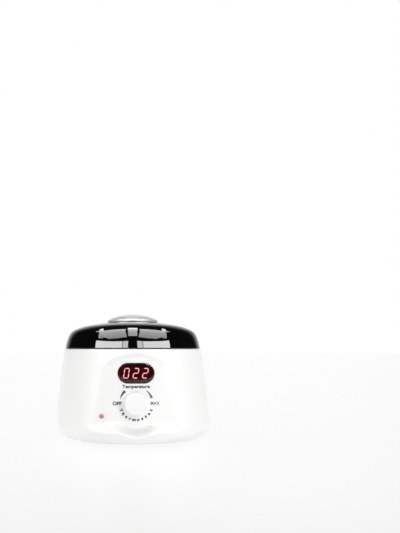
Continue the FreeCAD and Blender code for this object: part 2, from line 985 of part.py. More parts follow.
def make_shield_posts():
    """Make the three tapped posts between the base plate and the heat shield."""
    top = "body_underside + base_thickness"
    height = "shield_bottom - (%s)" % top
    post = tube("post_radius", "small_screw_shank", height)
    copies("shield_posts", post, on_ring("post_ring", top, POST_ANGLES))
    copies("post_screws", small_screw(), on_ring("post_ring", "body_underside", POST_ANGLES))


def make_shield_screws():
    """Make the three screws on top of the heat shield, pointing down into the posts."""
    shank = "small_screw_length"
    top = "shield_bottom + shield_thickness"
    solid = join(
        cylinder("small_screw_head", "small_screw_head_height", 0, 0, top),
        cylinder("small_screw_shank - 0.02", shank, 0, 0, top + " - " + shank),
    )
    copies("shield_screws", solid, on_ring("post_ring", 0, POST_ANGLES))


def make_well_mounting():
    """Make the stud, ceramic spacer and nut that hold the well to the shield."""
    top = "shield_bottom + shield_thickness"
    keep("well_stud", cylinder("stud_radius", "stud_length", 0, 0, "well_floor - stud_length"))
    spacer = tube("spacer_radius", "stud_radius + 0.05", "well_floor - (%s)" % top, 0, 0, top)
    keep("well_spacer", spacer)
    level = "shield_bottom - well_nut_thickness"
    nut = prism("well_nut_circumradius", "well_nut_thickness", 0, 0, level)
    keep("well_nut", cut(nut, cylinder("stud_radius + 0.02", "well_nut_thickness", 0, 0, level)))


def make_sensors():
    """Make the sensors that lie between the well's floor and the shield."""
    level = "(well_floor + shield_bottom + shield_thickness) / 2"
    start = "-bulb_length / 2"
    keep(
        "thermostat_bulb", cylinder("bulb_radius", "bulb_length", "-bulb_side", start, level, OUT_OF_REAR)
    )
    keep(
        "display_probe",
        cylinder("bulb_radius", "bulb_length / 2", "bulb_side", start, level, OUT_OF_REAR),
    )
    keep(
        "thermal_fuse",
        cylinder("bulb_radius", "fuse_length", "-fuse_length / 2", "bulb_side", level, TO_THE_RIGHT),
    )


# ---------------------------------------------------------------- display


def make_display():
    """Make the window, the digit module, its board and the screws behind the panel."""
    behind = "panel_face - shell_wall"
    front = "panel_face + display_proud"
    lens = stadium("display_width", "display_tall", "display_proud + shell_wall", front, "display_centre")
    wide = "display_width + 2 * display_flange"
    tall = "display_tall + 2 * display_flange"
    flange = stadium(wide, tall, "display_flange", behind, "display_centre")
    keep("display_window", join(lens, flange))
    module = block(
        "module_width",
        "module_depth",
        "module_tall",
        0,
        "-(%s - display_flange - module_gap)" % behind,
        "display_centre - module_tall / 2",
    )
    keep("led_module", module)
    board_back = "(%s - board_thickness)" % DISPLAY_BOARD_FRONT
    board = block(
        "display_board_width",
        "board_thickness",
        "display_board_tall",
        0,
        "-" + DISPLAY_BOARD_FRONT,
        "display_centre - display_board_tall / 2",
    )
    holes = [
        cylinder("small_screw_shank", "board_thickness + 2", x, "1 - " + board_back, z, OUT_OF_FRONT)
        for x, z in display_places()
    ]
    keep("display_board", cut(board, *holes))
    keep(
        "driver_chip",
        block(
            "chip_width",
            "chip_depth",
            "chip_height",
            0,
            "-" + board_back,
            "display_centre - chip_height / 2",
        ),
    )
    head = cylinder("small_screw_head", "small_screw_head_height", 0, 0, 0, OUT_OF_FRONT)
    shank = cylinder(
        "small_screw_shank - 0.02", "small_screw_head_height + small_screw_length", 0, 0, 0, OUT_OF_FRONT
    )
    rear = "small_screw_head_height - " + board_back
    spots = [(amount(x), amount(rear), amount(z), 0) for x, z in display_places()]
    copies("display_screws", join(head, shank), spots)


# ---------------------------------------------------------------- thermostat and knob


def make_thermostat():
    """Make the thermostat case with its threaded bushing, nut and connection tabs."""
    behind = "(panel_face - shell_wall)"
    top = "knob_centre + thermostat_over_axis"
    case = block(
        "thermostat_width", "thermostat_depth", "thermostat_tall", 0, "-" + behind, top + " - thermostat_tall"
    )
    reach = "bushing_front - %s + 1" % behind
    bushing = cylinder("bushing_radius", reach, 0, "1 - " + behind, "knob_centre", OUT_OF_FRONT)
    bore = cylinder(
        "spindle_radius + spindle_clearance",
        "bushing_front - spindle_back + 0.3",
        0,
        "0.3 - spindle_back",
        "knob_centre",
        OUT_OF_FRONT,
    )
    tabs = [
        block(
            "tab_width",
            "tab_thickness",
            "tab_length + 1",
            "%d * tab_place" % side,
            "-%s + thermostat_depth / 2" % behind,
            top + " - thermostat_tall - tab_length",
        )
        for side in (-1, 1)
    ]
    keep("thermostat_body", cut(join(case, bushing, *tabs), bore))
    nut = prism("nut_circumradius", "nut_thickness", 0, "-panel_face", "knob_centre", OUT_OF_FRONT)
    hole = cylinder(
        "bushing_radius + 0.02", "nut_thickness", 0, "-panel_face", "knob_centre", OUT_OF_FRONT
    )
    keep("thermostat_nut", cut(nut, hole))


def make_spindle():
    """Make the spindle that the knob turns, with a flat for the knob's spring clip."""
    bar = cylinder(
        "spindle_radius", "spindle_front - spindle_back", 0, "-spindle_back", "knob_centre", OUT_OF_FRONT
    )
    flat = block(
        "2 * spindle_radius",
        "spindle_flat_length",
        "spindle_radius",
        0,
        "-spindle_front",
        "knob_centre + spindle_flat",
    )
    keep("thermostat_spindle", cut(bar, flat))


def make_knob():
    """Make the round control knob, hollow at the rear to clear the bushing nut."""
    body = turned(
        [
            ("knob_recess_radius", 0),
            ("knob_radius", 0),
            ("knob_front_radius", "knob_length"),
            (0, "knob_length"),
            (0, "knob_bore_depth"),
            ("knob_bore", "knob_bore_depth"),
            ("knob_bore", "knob_recess_depth"),
            ("knob_recess_radius", "knob_recess_depth"),
        ],
        "Knob",
    )
    round_edges(body, "knob_round", ring_edge("knob_front_radius", "knob_length"))
    place(body, 0, "-panel_face - knob_gap", "knob_centre", OUT_OF_FRONT)
    keep("knob", body)
    outer = "knob_bore - 0.03"
    rear = "-spindle_front + clip_length"
    ring = tube(outer, outer + " - clip_wall", "clip_length", 0, rear, "knob_centre", OUT_OF_FRONT)
    slit = block("spindle_flat", "clip_length", "2 * knob_bore", 0, "-spindle_front", "knob_centre")
    keep("knob_clip", cut(ring, slit))


# ---------------------------------------------------------------- pilot light


def make_pilot_light():
    """Make the hollow red lens, the lamp inside it and its push-on retaining ring."""
    length = "panel_face + pilot_proud - pilot_back"
    lens = turned(
        [
            ("pilot_bore", 0),
            ("pilot_radius", 0),
            ("pilot_radius", length),
            (0, length),
            (0, "pilot_bore_depth"),
            ("pilot_bore", "pilot_bore_depth"),
        ],
        "PilotLens",
    )
    round_edges(lens, "pilot_proud - 0.1", ring_edge("pilot_radius", length))
    place(lens, "-pilot_side", "-pilot_back", "pilot_centre", OUT_OF_FRONT)
    keep("pilot_lens", lens)
    back = "-pilot_back - pilot_bore_depth + lamp_length + 0.5"
    keep(
        "pilot_lamp",
        cylinder("lamp_radius", "lamp_length", "-pilot_side", back, "pilot_centre", OUT_OF_FRONT),
    )
    ring_back = "-(panel_face - shell_wall) + pilot_clip_thickness"
    ring = tube(
        "pilot_clip_radius",
        "pilot_radius + 0.03",
        "pilot_clip_thickness",
        "-pilot_side",
        ring_back,
        "pilot_centre",
        OUT_OF_FRONT,
    )
    keep("pilot_clip", ring)


# ---------------------------------------------------------------- power board


def make_power_board():
    """Make the mains board on its standoffs, with the parts that stand on it."""
    level = "body_underside + base_thickness + standoff_height"
    front = "power_board_centre - power_board_depth / 2"
    board = block("power_board_width", "power_board_depth", "board_thickness", 0, front, level)
    holes = [cylinder("small_screw_shank", "board_thickness", x, y, level) for x, y in board_places()]
    keep("power_board", cut(board, *holes))
    top = level + " + board_thickness"
    transformer = block(
        "transformer_width", "transformer_depth", "transformer_height", "transformer_x", "transformer_y", top
    )
    keep("transformer", transformer)
    keep("relay", block("relay_width", "relay_depth", "relay_height", "relay_x", "relay_y", top))
    keep("capacitor", cylinder("capacitor_radius", "capacitor_height", "capacitor_x", "capacitor_y", top))
    block_body = block(
        "terminal_width", "terminal_depth", "terminal_height", "terminal_x", "terminal_y", top
    )
    entries = [
        cylinder(
            "terminal_entry",
            "terminal_depth / 2",
            "%d * terminal_pitch + terminal_x" % spot,
            "terminal_y",
            top + " + terminal_entry_height",
            OUT_OF_REAR,
        )
        for spot in (-1, 0, 1)
    ]
    keep("terminal_block", cut(block_body, *entries))
    head_level = amount(top)
    solid = join(
        cylinder("small_screw_head", "small_screw_head_height"),
        cylinder("small_screw_shank - 0.02", "small_screw_length", 0, 0, "-small_screw_length"),
    )
    copies("board_screws", solid, [(x, y, head_level, 0) for x, y in board_places()])


# ---------------------------------------------------------------- cord entry


def make_cord_entry():
    """Make the gland in the rear wall and the clamp that grips a cord inside it."""
    flange_start = "gland_length - gland_flange_thickness"
    gland = turned(
        [
            ("gland_bore", 0),
            ("gland_barrel", 0),
            ("gland_barrel", "gland_lock_start"),
            ("gland_barrel + gland_lock_rise", "gland_lock_start"),
            ("gland_barrel + gland_lock_rise", "gland_lock_end"),
            ("gland_barrel", "gland_lock_end"),
            ("gland_barrel", flange_start),
            ("gland_flange", flange_start),
            ("gland_flange", "gland_length"),
            ("gland_bore", "gland_length"),
        ],
        "Gland",
    )
    round_edges(gland, "0.9", ring_edge("gland_flange", "gland_length"))
    place(gland, 0, "gland_front - gland_length", "gland_centre", OUT_OF_REAR)
    keep("cord_gland", gland)
    level = "body_underside + base_thickness"
    saddle = block(
        "clamp_width", "clamp_depth", "clamp_height", 0, "clamp_place - clamp_depth / 2", level
    )
    channel = cylinder(
        "gland_bore - 0.2", "clamp_depth", 0, "clamp_place - clamp_depth / 2", level, OUT_OF_REAR
    )
    sides = ["%d * (clamp_width / 2 - clamp_screw_inset)" % side for side in (-1, 1)]
    holes = [cylinder("small_screw_shank", "clamp_height", x, "clamp_place", level) for x in sides]
    steps = [
        block(
            "clamp_foot",
            "clamp_depth",
            "clamp_height",
            x,
            "clamp_place - clamp_depth / 2",
            level + " + clamp_foot_height",
        )
        for x in sides
    ]
    keep("cord_clamp", cut(saddle, channel, *holes, *steps))
    seat = "(%s) + clamp_foot_height" % level
    solid = join(
        cylinder("small_screw_head", "small_screw_head_height"),
        cylinder("small_screw_shank - 0.02", "clamp_screw_length", 0, 0, "-clamp_screw_length"),
    )
    copies("clamp_screws", solid, [(amount(x), amount("clamp_place"), amount(seat), 0) for x in sides])


# ---------------------------------------------------------------- wax pot and handle


def make_wax_pot():
    """Make the lift-out pot, hung by its rim on the collar."""
    outer = "pot_inner + pot_wall"
    seat = "collar_top"
    bead_inner = "pot_rim_outer - pot_bead"
    body = turned(
        [
            (0, "pot_floor"),
            (outer, "pot_floor"),
            (outer, seat),
            ("pot_rim_outer", seat),
            ("pot_rim_outer", seat + " + pot_bead"),
            (bead_inner, seat + " + pot_bead"),
            (bead_inner, seat + " + pot_wall"),
            ("pot_inner", seat + " + pot_wall"),
            ("pot_inner", "pot_floor + pot_wall"),
            (0, "pot_floor + pot_wall"),
        ],
        "Pot",
    )
    round_edges(body, "pot_round", ring_edge(outer, "pot_floor"))
    round_edges(body, "pot_round - pot_wall", ring_edge("pot_inner", "pot_floor + pot_wall"))
    bead_top = seat + " + pot_bead"
    round_edges(
        body, "pot_bead_round", ring_edge("pot_rim_outer", bead_top), ring_edge(bead_inner, bead_top)
    )
    rim = seat + " - 0.5"
    holes = [
        cylinder(
            "rivet_shank + 0.02",
            "pot_wall + 1",
            "%d * rivet_place" % side,
            "%d * rivet_spread" % row,
            rim,
        )
        for side in (-1, 1)
        for row in (-1, 1)
    ]
    keep("wax_pot", cut(body, *holes))


RIM_TOP = "collar_top + pot_wall"
BOTH_SIDES = (0, 180)


def make_handle_lugs():
    """Make the two riveted lugs whose ears carry the ends of the handle."""
    foot_reach = "lug_ear + lug_ear_thickness - lug_inner"
    middle = "(lug_inner + lug_ear + lug_ear_thickness) / 2"
    foot = block(foot_reach, "lug_width", "lug_thickness", middle, "-lug_width / 2", RIM_TOP)
    ear_middle = "lug_ear + lug_ear_thickness / 2"
    ear = block(
        "lug_ear_thickness",
        "lug_rise",
        "bail_pivot - (%s)" % RIM_TOP,
        ear_middle,
        "-lug_rise / 2",
        RIM_TOP,
    )
    crown = cylinder("lug_rise / 2", "lug_ear_thickness", "lug_ear", 0, "bail_pivot", TO_THE_RIGHT)
    eye = cylinder(
        "wire_radius + wire_clearance", "lug_ear_thickness", "lug_ear", 0, "bail_pivot", TO_THE_RIGHT
    )
    holes = [
        cylinder("rivet_shank + 0.02", "lug_thickness", "rivet_place", "%d * rivet_spread" % row, RIM_TOP)
        for row in (-1, 1)
    ]
    lug = cut(join(foot, ear, crown), eye, *holes)
    copies("handle_lugs", lug, [(0, 0, 0, angle) for angle in BOTH_SIDES])


def make_lug_rivets():
    """Make the four rivets that hold the lugs to the rim, their heads on top."""
    shank = cylinder("rivet_shank", "pot_wall + lug_thickness", 0, 0, "collar_top")
    head = cylinder("rivet_head", "rivet_head_height", 0, 0, RIM_TOP + " + lug_thickness")
    reach = amount("rivet_place")
    spread = amount("rivet_spread")
    spots = [(side * reach, row * spread, 0, 0) for side in (-1, 1) for row in (-1, 1)]
    copies("lug_rivets", join(shank, head), spots)


def make_bail_handle():
    """Make the wire handle: a half ring, a tight bend and a headed pin at each end."""
    centre = "bail_bend"
    ring = bend("bail_radius", "wire_radius", 180, 0, centre, "bail_pivot")
    corner_x = "bail_radius + bail_bend"
    right = bend("bail_bend", "wire_radius", 90, corner_x, centre, "bail_pivot", 180)
    left = bend("bail_bend", "wire_radius", 90, "-(%s)" % corner_x, centre, "bail_pivot", 270)
    pins = [
        cylinder("wire_radius", "bail_pin", corner_x, 0, "bail_pivot", TO_THE_RIGHT),
        cylinder("wire_radius", "bail_pin", "-(%s) - bail_pin" % corner_x, 0, "bail_pivot", TO_THE_RIGHT),
    ]
    heads = [
        cylinder("bail_head", "bail_head_length", "%s + bail_pin - bail_head_length / 2" % corner_x, 0, "bail_pivot",
                 TO_THE_RIGHT),
        cylinder("bail_head", "bail_head_length", "-(%s) - bail_pin - bail_head_length / 2" % corner_x, 0,
                 "bail_pivot", TO_THE_RIGHT),
    ]
    keep("bail_handle", join(ring, right, left, *pins, *heads))


# ---------------------------------------------------------------- lid


def lid_form(name, foot, start, shoulder, shoulder_height, inset):
    """Make a solid of the lid's form, the whole of it or its hollow, from its foot up."""
    body = turned(
        [
            (0, start),
            (foot, start),
            (shoulder, shoulder_height, "lid_crown_radius - (%s)" % inset),
            (0, "lid_crown_height - (%s)" % inset),
        ],
        name,
    )
    round_edges(body, "lid_round - (%s)" % inset, ring_edge(shoulder, shoulder_height))
    return place(body, 0, 0, "lid_base")


def make_lid():
    """Make the domed lid, hollow and open at its foot, with a hole for the cap's screw."""
    outside = lid_form("Lid", "lid_radius", 0, "lid_shoulder", "lid_shoulder_height", 0)
    hollow = lid_form(
        "LidHollow",
        "lid_hollow_radius",
        0,
        "lid_hollow_shoulder",
        "lid_hollow_shoulder_height",
        "lid_wall",
    )
    hole = cylinder(
        "small_screw_shank + 0.1",
        "lid_hole_length",
        0,
        0,
        "lid_base + lid_crown_height - lid_hole_length / 2",
    )
    keep("lid_dome", cut(outside, hollow, hole))


def make_lid_cap():
    """Make the plated cap: a shallow dome with a thin edge, a seat and a tapped hole."""
    crown = "lid_base + lid_crown_height"
    body = turned(
        [
            (0, crown),
            ("cap_seat", crown),
            ("cap_radius - cap_lip_width", "cap_bottom + cap_lip_gap"),
            ("cap_radius", "cap_bottom + cap_lip_gap"),
            ("cap_radius", "cap_bottom + cap_edge", "cap_dome_radius"),
            (0, "cap_bottom + cap_edge + cap_rise"),
        ],
        "Cap",
    )
    hole = cylinder("small_screw_shank", "cap_screw_grip", 0, 0, crown)
    keep("lid_cap", cut(body, hole))


def make_cap_fixing():
    """Make the screw and washer that hold the cap from inside the lid."""
    under = "(lid_base + lid_crown_height - lid_wall)"
    level = under + " - cap_washer_thickness - 0.1"
    washer = tube("cap_washer_radius", "small_screw_shank + 0.1", "cap_washer_thickness", 0, 0, level)
    keep("cap_washer", washer)
    head = cylinder(
        "small_screw_head", "small_screw_head_height", 0, 0, level + " - small_screw_head_height"
    )
    shank = cylinder(
        "small_screw_shank - 0.02", "cap_screw_length - 2", 0, 0, level + " - small_screw_head_height / 2"
    )
    keep("cap_screw", join(head, shank))


# ---------------------------------------------------------------- build and write


def check_document():
    """Stop if any object failed, or if a sub-part is empty or not valid."""
    doc.recompute()
    for item in doc.Objects:
        if {"Invalid", "Error"} & set(item.State):
            raise RuntimeError("%s (%s) failed: %s" % (item.Name, item.Label, item.State))
    for label, item in sub_parts.items():
        if item.Shape.isNull() or not item.Shape.isValid():
            raise RuntimeError("%s has no valid shape" % label)
        if not item.Shape.Solids:
            raise RuntimeError("%s has no solid" % label)


def write_parts():
    """Write each sub-part to a STEP file of its own."""
    os.makedirs("parts", exist_ok=True)
    for label, item in sub_parts.items():
        item.Shape.exportStep(os.path.join("parts", label + ".step"))
        print("%-20s %2d solids %9.1f mm3" % (label, len(item.Shape.Solids), item.Shape.Volume))


make_body_shell()
make_base_plate()
make_rubber_feet()
make_base_screws()
make_collar_ring()
make_heater_well()
make_band_heater()
make_heater_bolt()
make_insulation_blanket()
make_heat_shield()
make_shield_posts()
make_shield_screws()
make_well_mounting()
make_sensors()
make_display()
make_thermostat()
make_spindle()
make_knob()
make_pilot_light()
make_power_board()
make_cord_entry()
make_wax_pot()
make_handle_lugs()
make_lug_rivets()
make_bail_handle()
make_lid()
make_lid_cap()
make_cap_fixing()
check_document()
write_parts()
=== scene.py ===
"""Wax warmer pot: finishes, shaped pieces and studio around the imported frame.

Lengths in the classes are millimetres unless a name says otherwise; meshes are metres.
The control panel faces -Y and the origin is under the middle of the pot.
"""

import logging
import math
from dataclasses import dataclass
from enum import Enum
from typing import Any, Callable, ClassVar, Iterable, Sequence

import bmesh
import bpy
from mathutils import Matrix, Vector


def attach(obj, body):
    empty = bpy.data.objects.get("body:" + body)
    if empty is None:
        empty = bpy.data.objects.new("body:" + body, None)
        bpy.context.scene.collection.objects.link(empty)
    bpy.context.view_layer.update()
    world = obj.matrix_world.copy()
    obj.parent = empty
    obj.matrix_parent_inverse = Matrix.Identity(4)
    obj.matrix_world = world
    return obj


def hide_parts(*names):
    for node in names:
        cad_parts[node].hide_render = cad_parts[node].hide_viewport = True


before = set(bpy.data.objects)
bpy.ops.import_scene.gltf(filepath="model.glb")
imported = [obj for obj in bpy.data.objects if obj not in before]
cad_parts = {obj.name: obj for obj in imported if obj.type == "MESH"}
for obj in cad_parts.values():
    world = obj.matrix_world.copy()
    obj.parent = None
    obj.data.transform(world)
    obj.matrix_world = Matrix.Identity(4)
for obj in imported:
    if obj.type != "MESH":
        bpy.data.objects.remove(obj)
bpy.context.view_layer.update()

LOG = logging.getLogger("wax_warmer")
MM = 0.001
Point = tuple[float, float]
Tree = bpy.types.NodeTree
Socket = bpy.types.NodeSocket
Mesh = bpy.types.Mesh
# Edges sharper than this stay sharp on a smooth piece.
SMOOTH_DEGREES = 32.0
OUT_OF_FRONT = Matrix.Rotation(math.radians(90), 4, "X")
OUT_OF_REAR = Matrix.Rotation(math.radians(-90), 4, "X")


class Body(Enum):
    """The moving bodies of the frame."""

    HOUSING = "housing"
    POT = "inner_pot"
    HANDLE = "handle"
    LID = "lid"
    KNOB = "control_knob"


class Grain(Enum):
    """How a moulded surface was finished in its tool, as grain size in millimetres."""

    POLISHED = 6.0
    SATIN = 0.9
    SPARK_ERODED = 0.45


# ---------------------------------------------------------------- node helpers


def linear(code: str) -> tuple[float, float, float, float]:
    """Turn an sRGB hex colour into linear light.

    Args:
        code: six hex digits, such as "f4f4f2".

    Returns:
        Red, green, blue and alpha in linear light.
    """
    channels = [int(code[i : i + 2], 16) / 255 for i in (0, 2, 4)]
    light = [c / 12.92 if c <= 0.04045 else ((c + 0.055) / 1.055) ** 2.4 for c in channels]
    return (light[0], light[1], light[2], 1.0)


def add_node(tree: Tree, kind: str, inputs: dict | None = None, **settings: Any) -> Any:
    """Add a node with its settings, input values and links.

    Args:
        tree: the tree that the node goes in.
        kind: the node's type name.
        inputs: input name or index to a value, or to the output socket that feeds it.
        settings: the node's own properties.

    Returns:
        The new node.
    """
    node = tree.nodes.new(kind)
    for name, value in settings.items():
        setattr(node, name, value)
    for key, value in (inputs or {}).items():
        socket = node.inputs[key]
        if isinstance(value, bpy.types.NodeSocket):
            tree.links.new(value, socket)
        else:
            socket.default_value = value
    return node


def per_metre(size_mm: float) -> float:
    """Give the texture scale whose features are about this many millimetres apart."""
    return 1.0 / (size_mm * MM)


# ---------------------------------------------------------------- finishes


@dataclass(frozen=True)
class Finish:
    """A plain finish; the kinds below add the detail that each real process leaves."""

    name: str
    colour: str
    roughness: float
    metallic: float = 0.0
    ior: float = 1.5

    def material(self) -> bpy.types.Material:
        """Build the material once and hand it out after that.

        Returns:
            The material with this finish's name.
        """
        found = bpy.data.materials.get(self.name)
        if found:
            return found
        made = bpy.data.materials.new(self.name)
        made.use_nodes = True
        tree = made.node_tree
        shader = tree.nodes["Principled BSDF"]
        shader.inputs["Base Color"].default_value = linear(self.colour)
        shader.inputs["Roughness"].default_value = self.roughness
        shader.inputs["Metallic"].default_value = self.metallic
        shader.inputs["IOR"].default_value = self.ior
        made.diffuse_color = linear(self.colour)
        self.detail(tree, shader)
        return made

    def detail(self, tree: Tree, shader: Any) -> None:
        """Add what the process leaves on the surface; a plain finish leaves nothing."""

    def place(self, tree: Tree) -> Socket:
        """Give the object coordinates that every pattern reads."""
        return add_node(tree, "ShaderNodeTexCoord").outputs["Object"]

    def noise(self, tree: Tree, size_mm: float, detail: float = 2.0) -> Socket:
        """Give a cloudy pattern with features of about one size."""
        inputs = {"Vector": self.place(tree), "Scale": per_metre(size_mm), "Detail": detail}
        return add_node(tree, "ShaderNodeTexNoise", inputs).outputs["Fac"]

    def span(self, tree: Tree, value: Socket, **limits: float) -> Socket:
        """Stretch a pattern from one range to another; limits are named as from_min or to_max."""
        named = {name.replace("_", " ").title(): limit for name, limit in limits.items()}
        return add_node(tree, "ShaderNodeMapRange", {"Value": value, **named}).outputs["Result"]

    def math(self, tree: Tree, operation: str, first: Any, second: Any = 0.0) -> Socket:
        """Combine two values or patterns by arithmetic."""
        return add_node(tree, "ShaderNodeMath", {0: first, 1: second}, operation=operation).outputs["Value"]

    def from_axis(self, tree: Tree) -> Socket:
        """Give the distance from the upright axis."""
        parts = add_node(tree, "ShaderNodeSeparateXYZ", {"Vector": self.place(tree)}).outputs
        flat = add_node(tree, "ShaderNodeCombineXYZ", {"X": parts["X"], "Y": parts["Y"]})
        reach = add_node(tree, "ShaderNodeVectorMath", {0: flat.outputs["Vector"]}, operation="LENGTH")
        return reach.outputs["Value"]

    def vary_roughness(self, tree: Tree, shader: Any, source: Socket, share: float) -> None:
        """Let a pattern move the roughness by a share of it either side of its middle value."""
        spread = self.roughness * share
        level = self.span(tree, source, to_min=self.roughness - spread, to_max=self.roughness + spread)
        tree.links.new(level, shader.inputs["Roughness"])

    def vary_colour(self, tree: Tree, shader: Any, source: Socket, other: str) -> None:
        """Let a pattern blend the colour towards another one."""
        colours = {"Factor": source, "A": linear(self.colour), "B": linear(other)}
        blend = add_node(tree, "ShaderNodeMix", colours, data_type="RGBA")
        tree.links.new(blend.outputs[2], shader.inputs["Base Color"])

    def bump(self, tree: Tree, shader: Any, source: Socket, depth_mm: float, strength: float) -> None:
        """Raise the surface by a pattern."""
        inputs = {"Height": source, "Distance": depth_mm * MM, "Strength": strength}
        relief = add_node(tree, "ShaderNodeBump", inputs)
        tree.links.new(relief.outputs["Normal"], shader.inputs["Normal"])


@dataclass(frozen=True)
class MouldedPlastic(Finish):
    """Injection-moulded plastic: a faint flow mottle and the grain of its tool."""

    grain: Grain = Grain.POLISHED
    relief: float = 0.01
    mottle: str = "e6e6e4"
    # Flow marks are tens of millimetres long, and barely show.
    flow_mm: float = 38.0

    def detail(self, tree: Tree, shader: Any) -> None:
        """Add cloudy flow marks, uneven gloss and the tool's grain."""
        flow = self.noise(tree, self.flow_mm, 3.0)
        marks = self.span(tree, flow, from_min=0.35, from_max=0.8, to_max=0.22)
        self.vary_colour(tree, shader, marks, self.mottle)
        fine = self.noise(tree, self.grain.value, 4.0)
        self.vary_roughness(tree, shader, fine, 0.22)
        self.bump(tree, shader, fine, self.relief, 0.35)


@dataclass(frozen=True)
class SpunMetal(Finish):
    """Metal spun or turned on a lathe: fine rings about the upright axis, with faint scuffs."""

    ring_mm: float = 0.8
    scuff: str = "9c9ea2"
    scuff_mm: float = 14.0

    def detail(self, tree: Tree, shader: Any) -> None:
        """Add the tool's rings to gloss and relief, and scuffs to the colour."""
        up = add_node(tree, "ShaderNodeSeparateXYZ", {"Vector": self.place(tree)}).outputs["Z"]
        along = self.math(tree, "ADD", self.from_axis(tree), up)
        inputs = {"W": along, "Scale": per_metre(self.ring_mm), "Detail": 5.0}
        rings = add_node(tree, "ShaderNodeTexNoise", inputs, noise_dimensions="1D").outputs["Fac"]
        self.vary_roughness(tree, shader, rings, 0.4)
        self.bump(tree, shader, rings, 0.02, 0.5)
        scuffs = self.noise(tree, self.scuff_mm, 8.0)
        marks = self.span(tree, scuffs, from_min=0.5, from_max=0.75, to_max=0.5)
        self.vary_colour(tree, shader, marks, self.scuff)


@dataclass(frozen=True)
class PlatedMetal(Finish):
    """Bright plating: near mirror, with slow ripples from the part below and light handling haze."""

    ripple_mm: float = 9.0
    haze: str = "b9bcc2"
    haze_mm: float = 22.0

    def detail(self, tree: Tree, shader: Any) -> None:
        """Add the ripple, the haze and a slight change of gloss."""
        self.bump(tree, shader, self.noise(tree, self.ripple_mm), 0.02, 0.15)
        haze = self.noise(tree, self.haze_mm, 6.0)
        self.vary_roughness(tree, shader, haze, 0.5)
        marks = self.span(tree, haze, from_min=0.45, from_max=0.8, to_max=0.4)
        self.vary_colour(tree, shader, marks, self.haze)


@dataclass(frozen=True)
class SilverEdgePaintedTop(Finish):
    """Silver metal round the edge of a part whose middle is painted white without metal: a painted
    reflection, standing in for the bright room the top would mirror.
    """

    ripple_mm: float = 9.0
    # Painted reflection: the white painted on the middle in place of the bright room it would mirror.
    middle: str = "f8f8f8"
    thin_mm: float = 18.5
    full_mm: float = 22.0

    def detail(self, tree: Tree, shader: Any) -> None:
        """Add a slow ripple, and paint the middle of the part white and without metal, a painted reflection
        of the bright room above.
        """
        ripple = self.noise(tree, self.ripple_mm)
        self.bump(tree, shader, ripple, 0.02, 0.15)
        self.vary_roughness(tree, shader, ripple, 0.3)
        limits = {"from_min": self.thin_mm * MM, "from_max": self.full_mm * MM}
        silver_share = self.span(tree, self.from_axis(tree), **limits)
        # Painted reflection: the middle is painted white and loses its metal, standing in for a mirrored
        # bright room.
        self.vary_colour(tree, shader, self.math(tree, "SUBTRACT", 1.0, silver_share), self.middle)
        plated = self.math(tree, "MULTIPLY", silver_share, self.metallic)
        tree.links.new(plated, shader.inputs["Metallic"])


@dataclass(frozen=True)
class RolledMetal(Finish):
    """Rolled or zinc-plated sheet and screws: short grain one way and a spangled tint."""

    tint: str = "a9a58f"
    grain_mm: float = 0.35
    spangle_mm: float = 4.0

    def detail(self, tree: Tree, shader: Any) -> None:
        """Add the rolling grain and the plating's spangle."""
        where = self.place(tree)
        stretched = add_node(tree, "ShaderNodeMapping", {"Vector": where, "Scale": (0.08, 1.0, 1.0)})
        inputs = {"Vector": stretched.outputs["Vector"], "Scale": per_metre(self.grain_mm), "Detail": 3.0}
        grain = add_node(tree, "ShaderNodeTexNoise", inputs).outputs["Fac"]
        self.vary_roughness(tree, shader, grain, 0.35)
        self.bump(tree, shader, grain, 0.01, 0.4)
        inputs = {"Vector": where, "Scale": per_metre(self.spangle_mm)}
        spangle = add_node(tree, "ShaderNodeTexVoronoi", inputs)
        self.vary_colour(tree, shader, spangle.outputs["Distance"], self.tint)


@dataclass(frozen=True)
class MouldedRubber(Finish):
    """Moulded rubber: matt, with a fine dusty bloom."""

    bloom: str = "3a3a3a"
    bloom_mm: float = 5.0
    grain_mm: float = 0.5

    def detail(self, tree: Tree, shader: Any) -> None:
        """Add the bloom and a fine grain."""
        self.vary_colour(tree, shader, self.noise(tree, self.bloom_mm, 6.0), self.bloom)
        self.bump(tree, shader, self.noise(tree, self.grain_mm), 0.03, 0.5)


@dataclass(frozen=True)
class WovenFibre(Finish):
    """Woven glass cloth: crossing threads, drawn a little coarse so that they show."""

    thread_mm: float = 1.6
    wrap_radius_mm: float = 60.0
    gap: str = "b3ad9a"

    def detail(self, tree: Tree, shader: Any) -> None:
        """Cross two sets of threads, one round the wrap and one up it."""
        parts = add_node(tree, "ShaderNodeSeparateXYZ", {"Vector": self.place(tree)}).outputs
        turn = self.math(tree, "ARCTAN2", parts["Y"], parts["X"])
        around = self.math(tree, "MULTIPLY", turn, self.wrap_radius_mm * MM)
        waves = []
        for source in (around, parts["Z"]):
            phase = self.math(tree, "MULTIPLY", source, math.tau * per_metre(self.thread_mm))
            waves.append(self.math(tree, "SINE", phase))
        weave = self.math(tree, "MULTIPLY", *waves)
        self.bump(tree, shader, weave, 0.2, 0.8)
        self.vary_colour(tree, shader, self.span(tree, weave, from_min=-1.0, to_max=0.7), self.gap)


@dataclass(frozen=True)
class Laminate(Finish):
    """Glass-epoxy board under green resist: paler copper runs show through it."""

    copper: str = "4f8f4a"
    run_mm: float = 5.0

    def detail(self, tree: Tree, shader: Any) -> None:
        """Draw the runs as cell edges of a square-cornered pattern."""
        inputs = {"Vector": self.place(tree), "Scale": per_metre(self.run_mm)}
        cells = add_node(tree, "ShaderNodeTexVoronoi", inputs, distance="CHEBYCHEV", feature="F1")
        edge = self.span(tree, cells.outputs["Distance"], from_min=0.42, from_max=0.5)
        self.vary_colour(tree, shader, edge, self.copper)
        self.bump(tree, shader, edge, 0.04, 0.5)


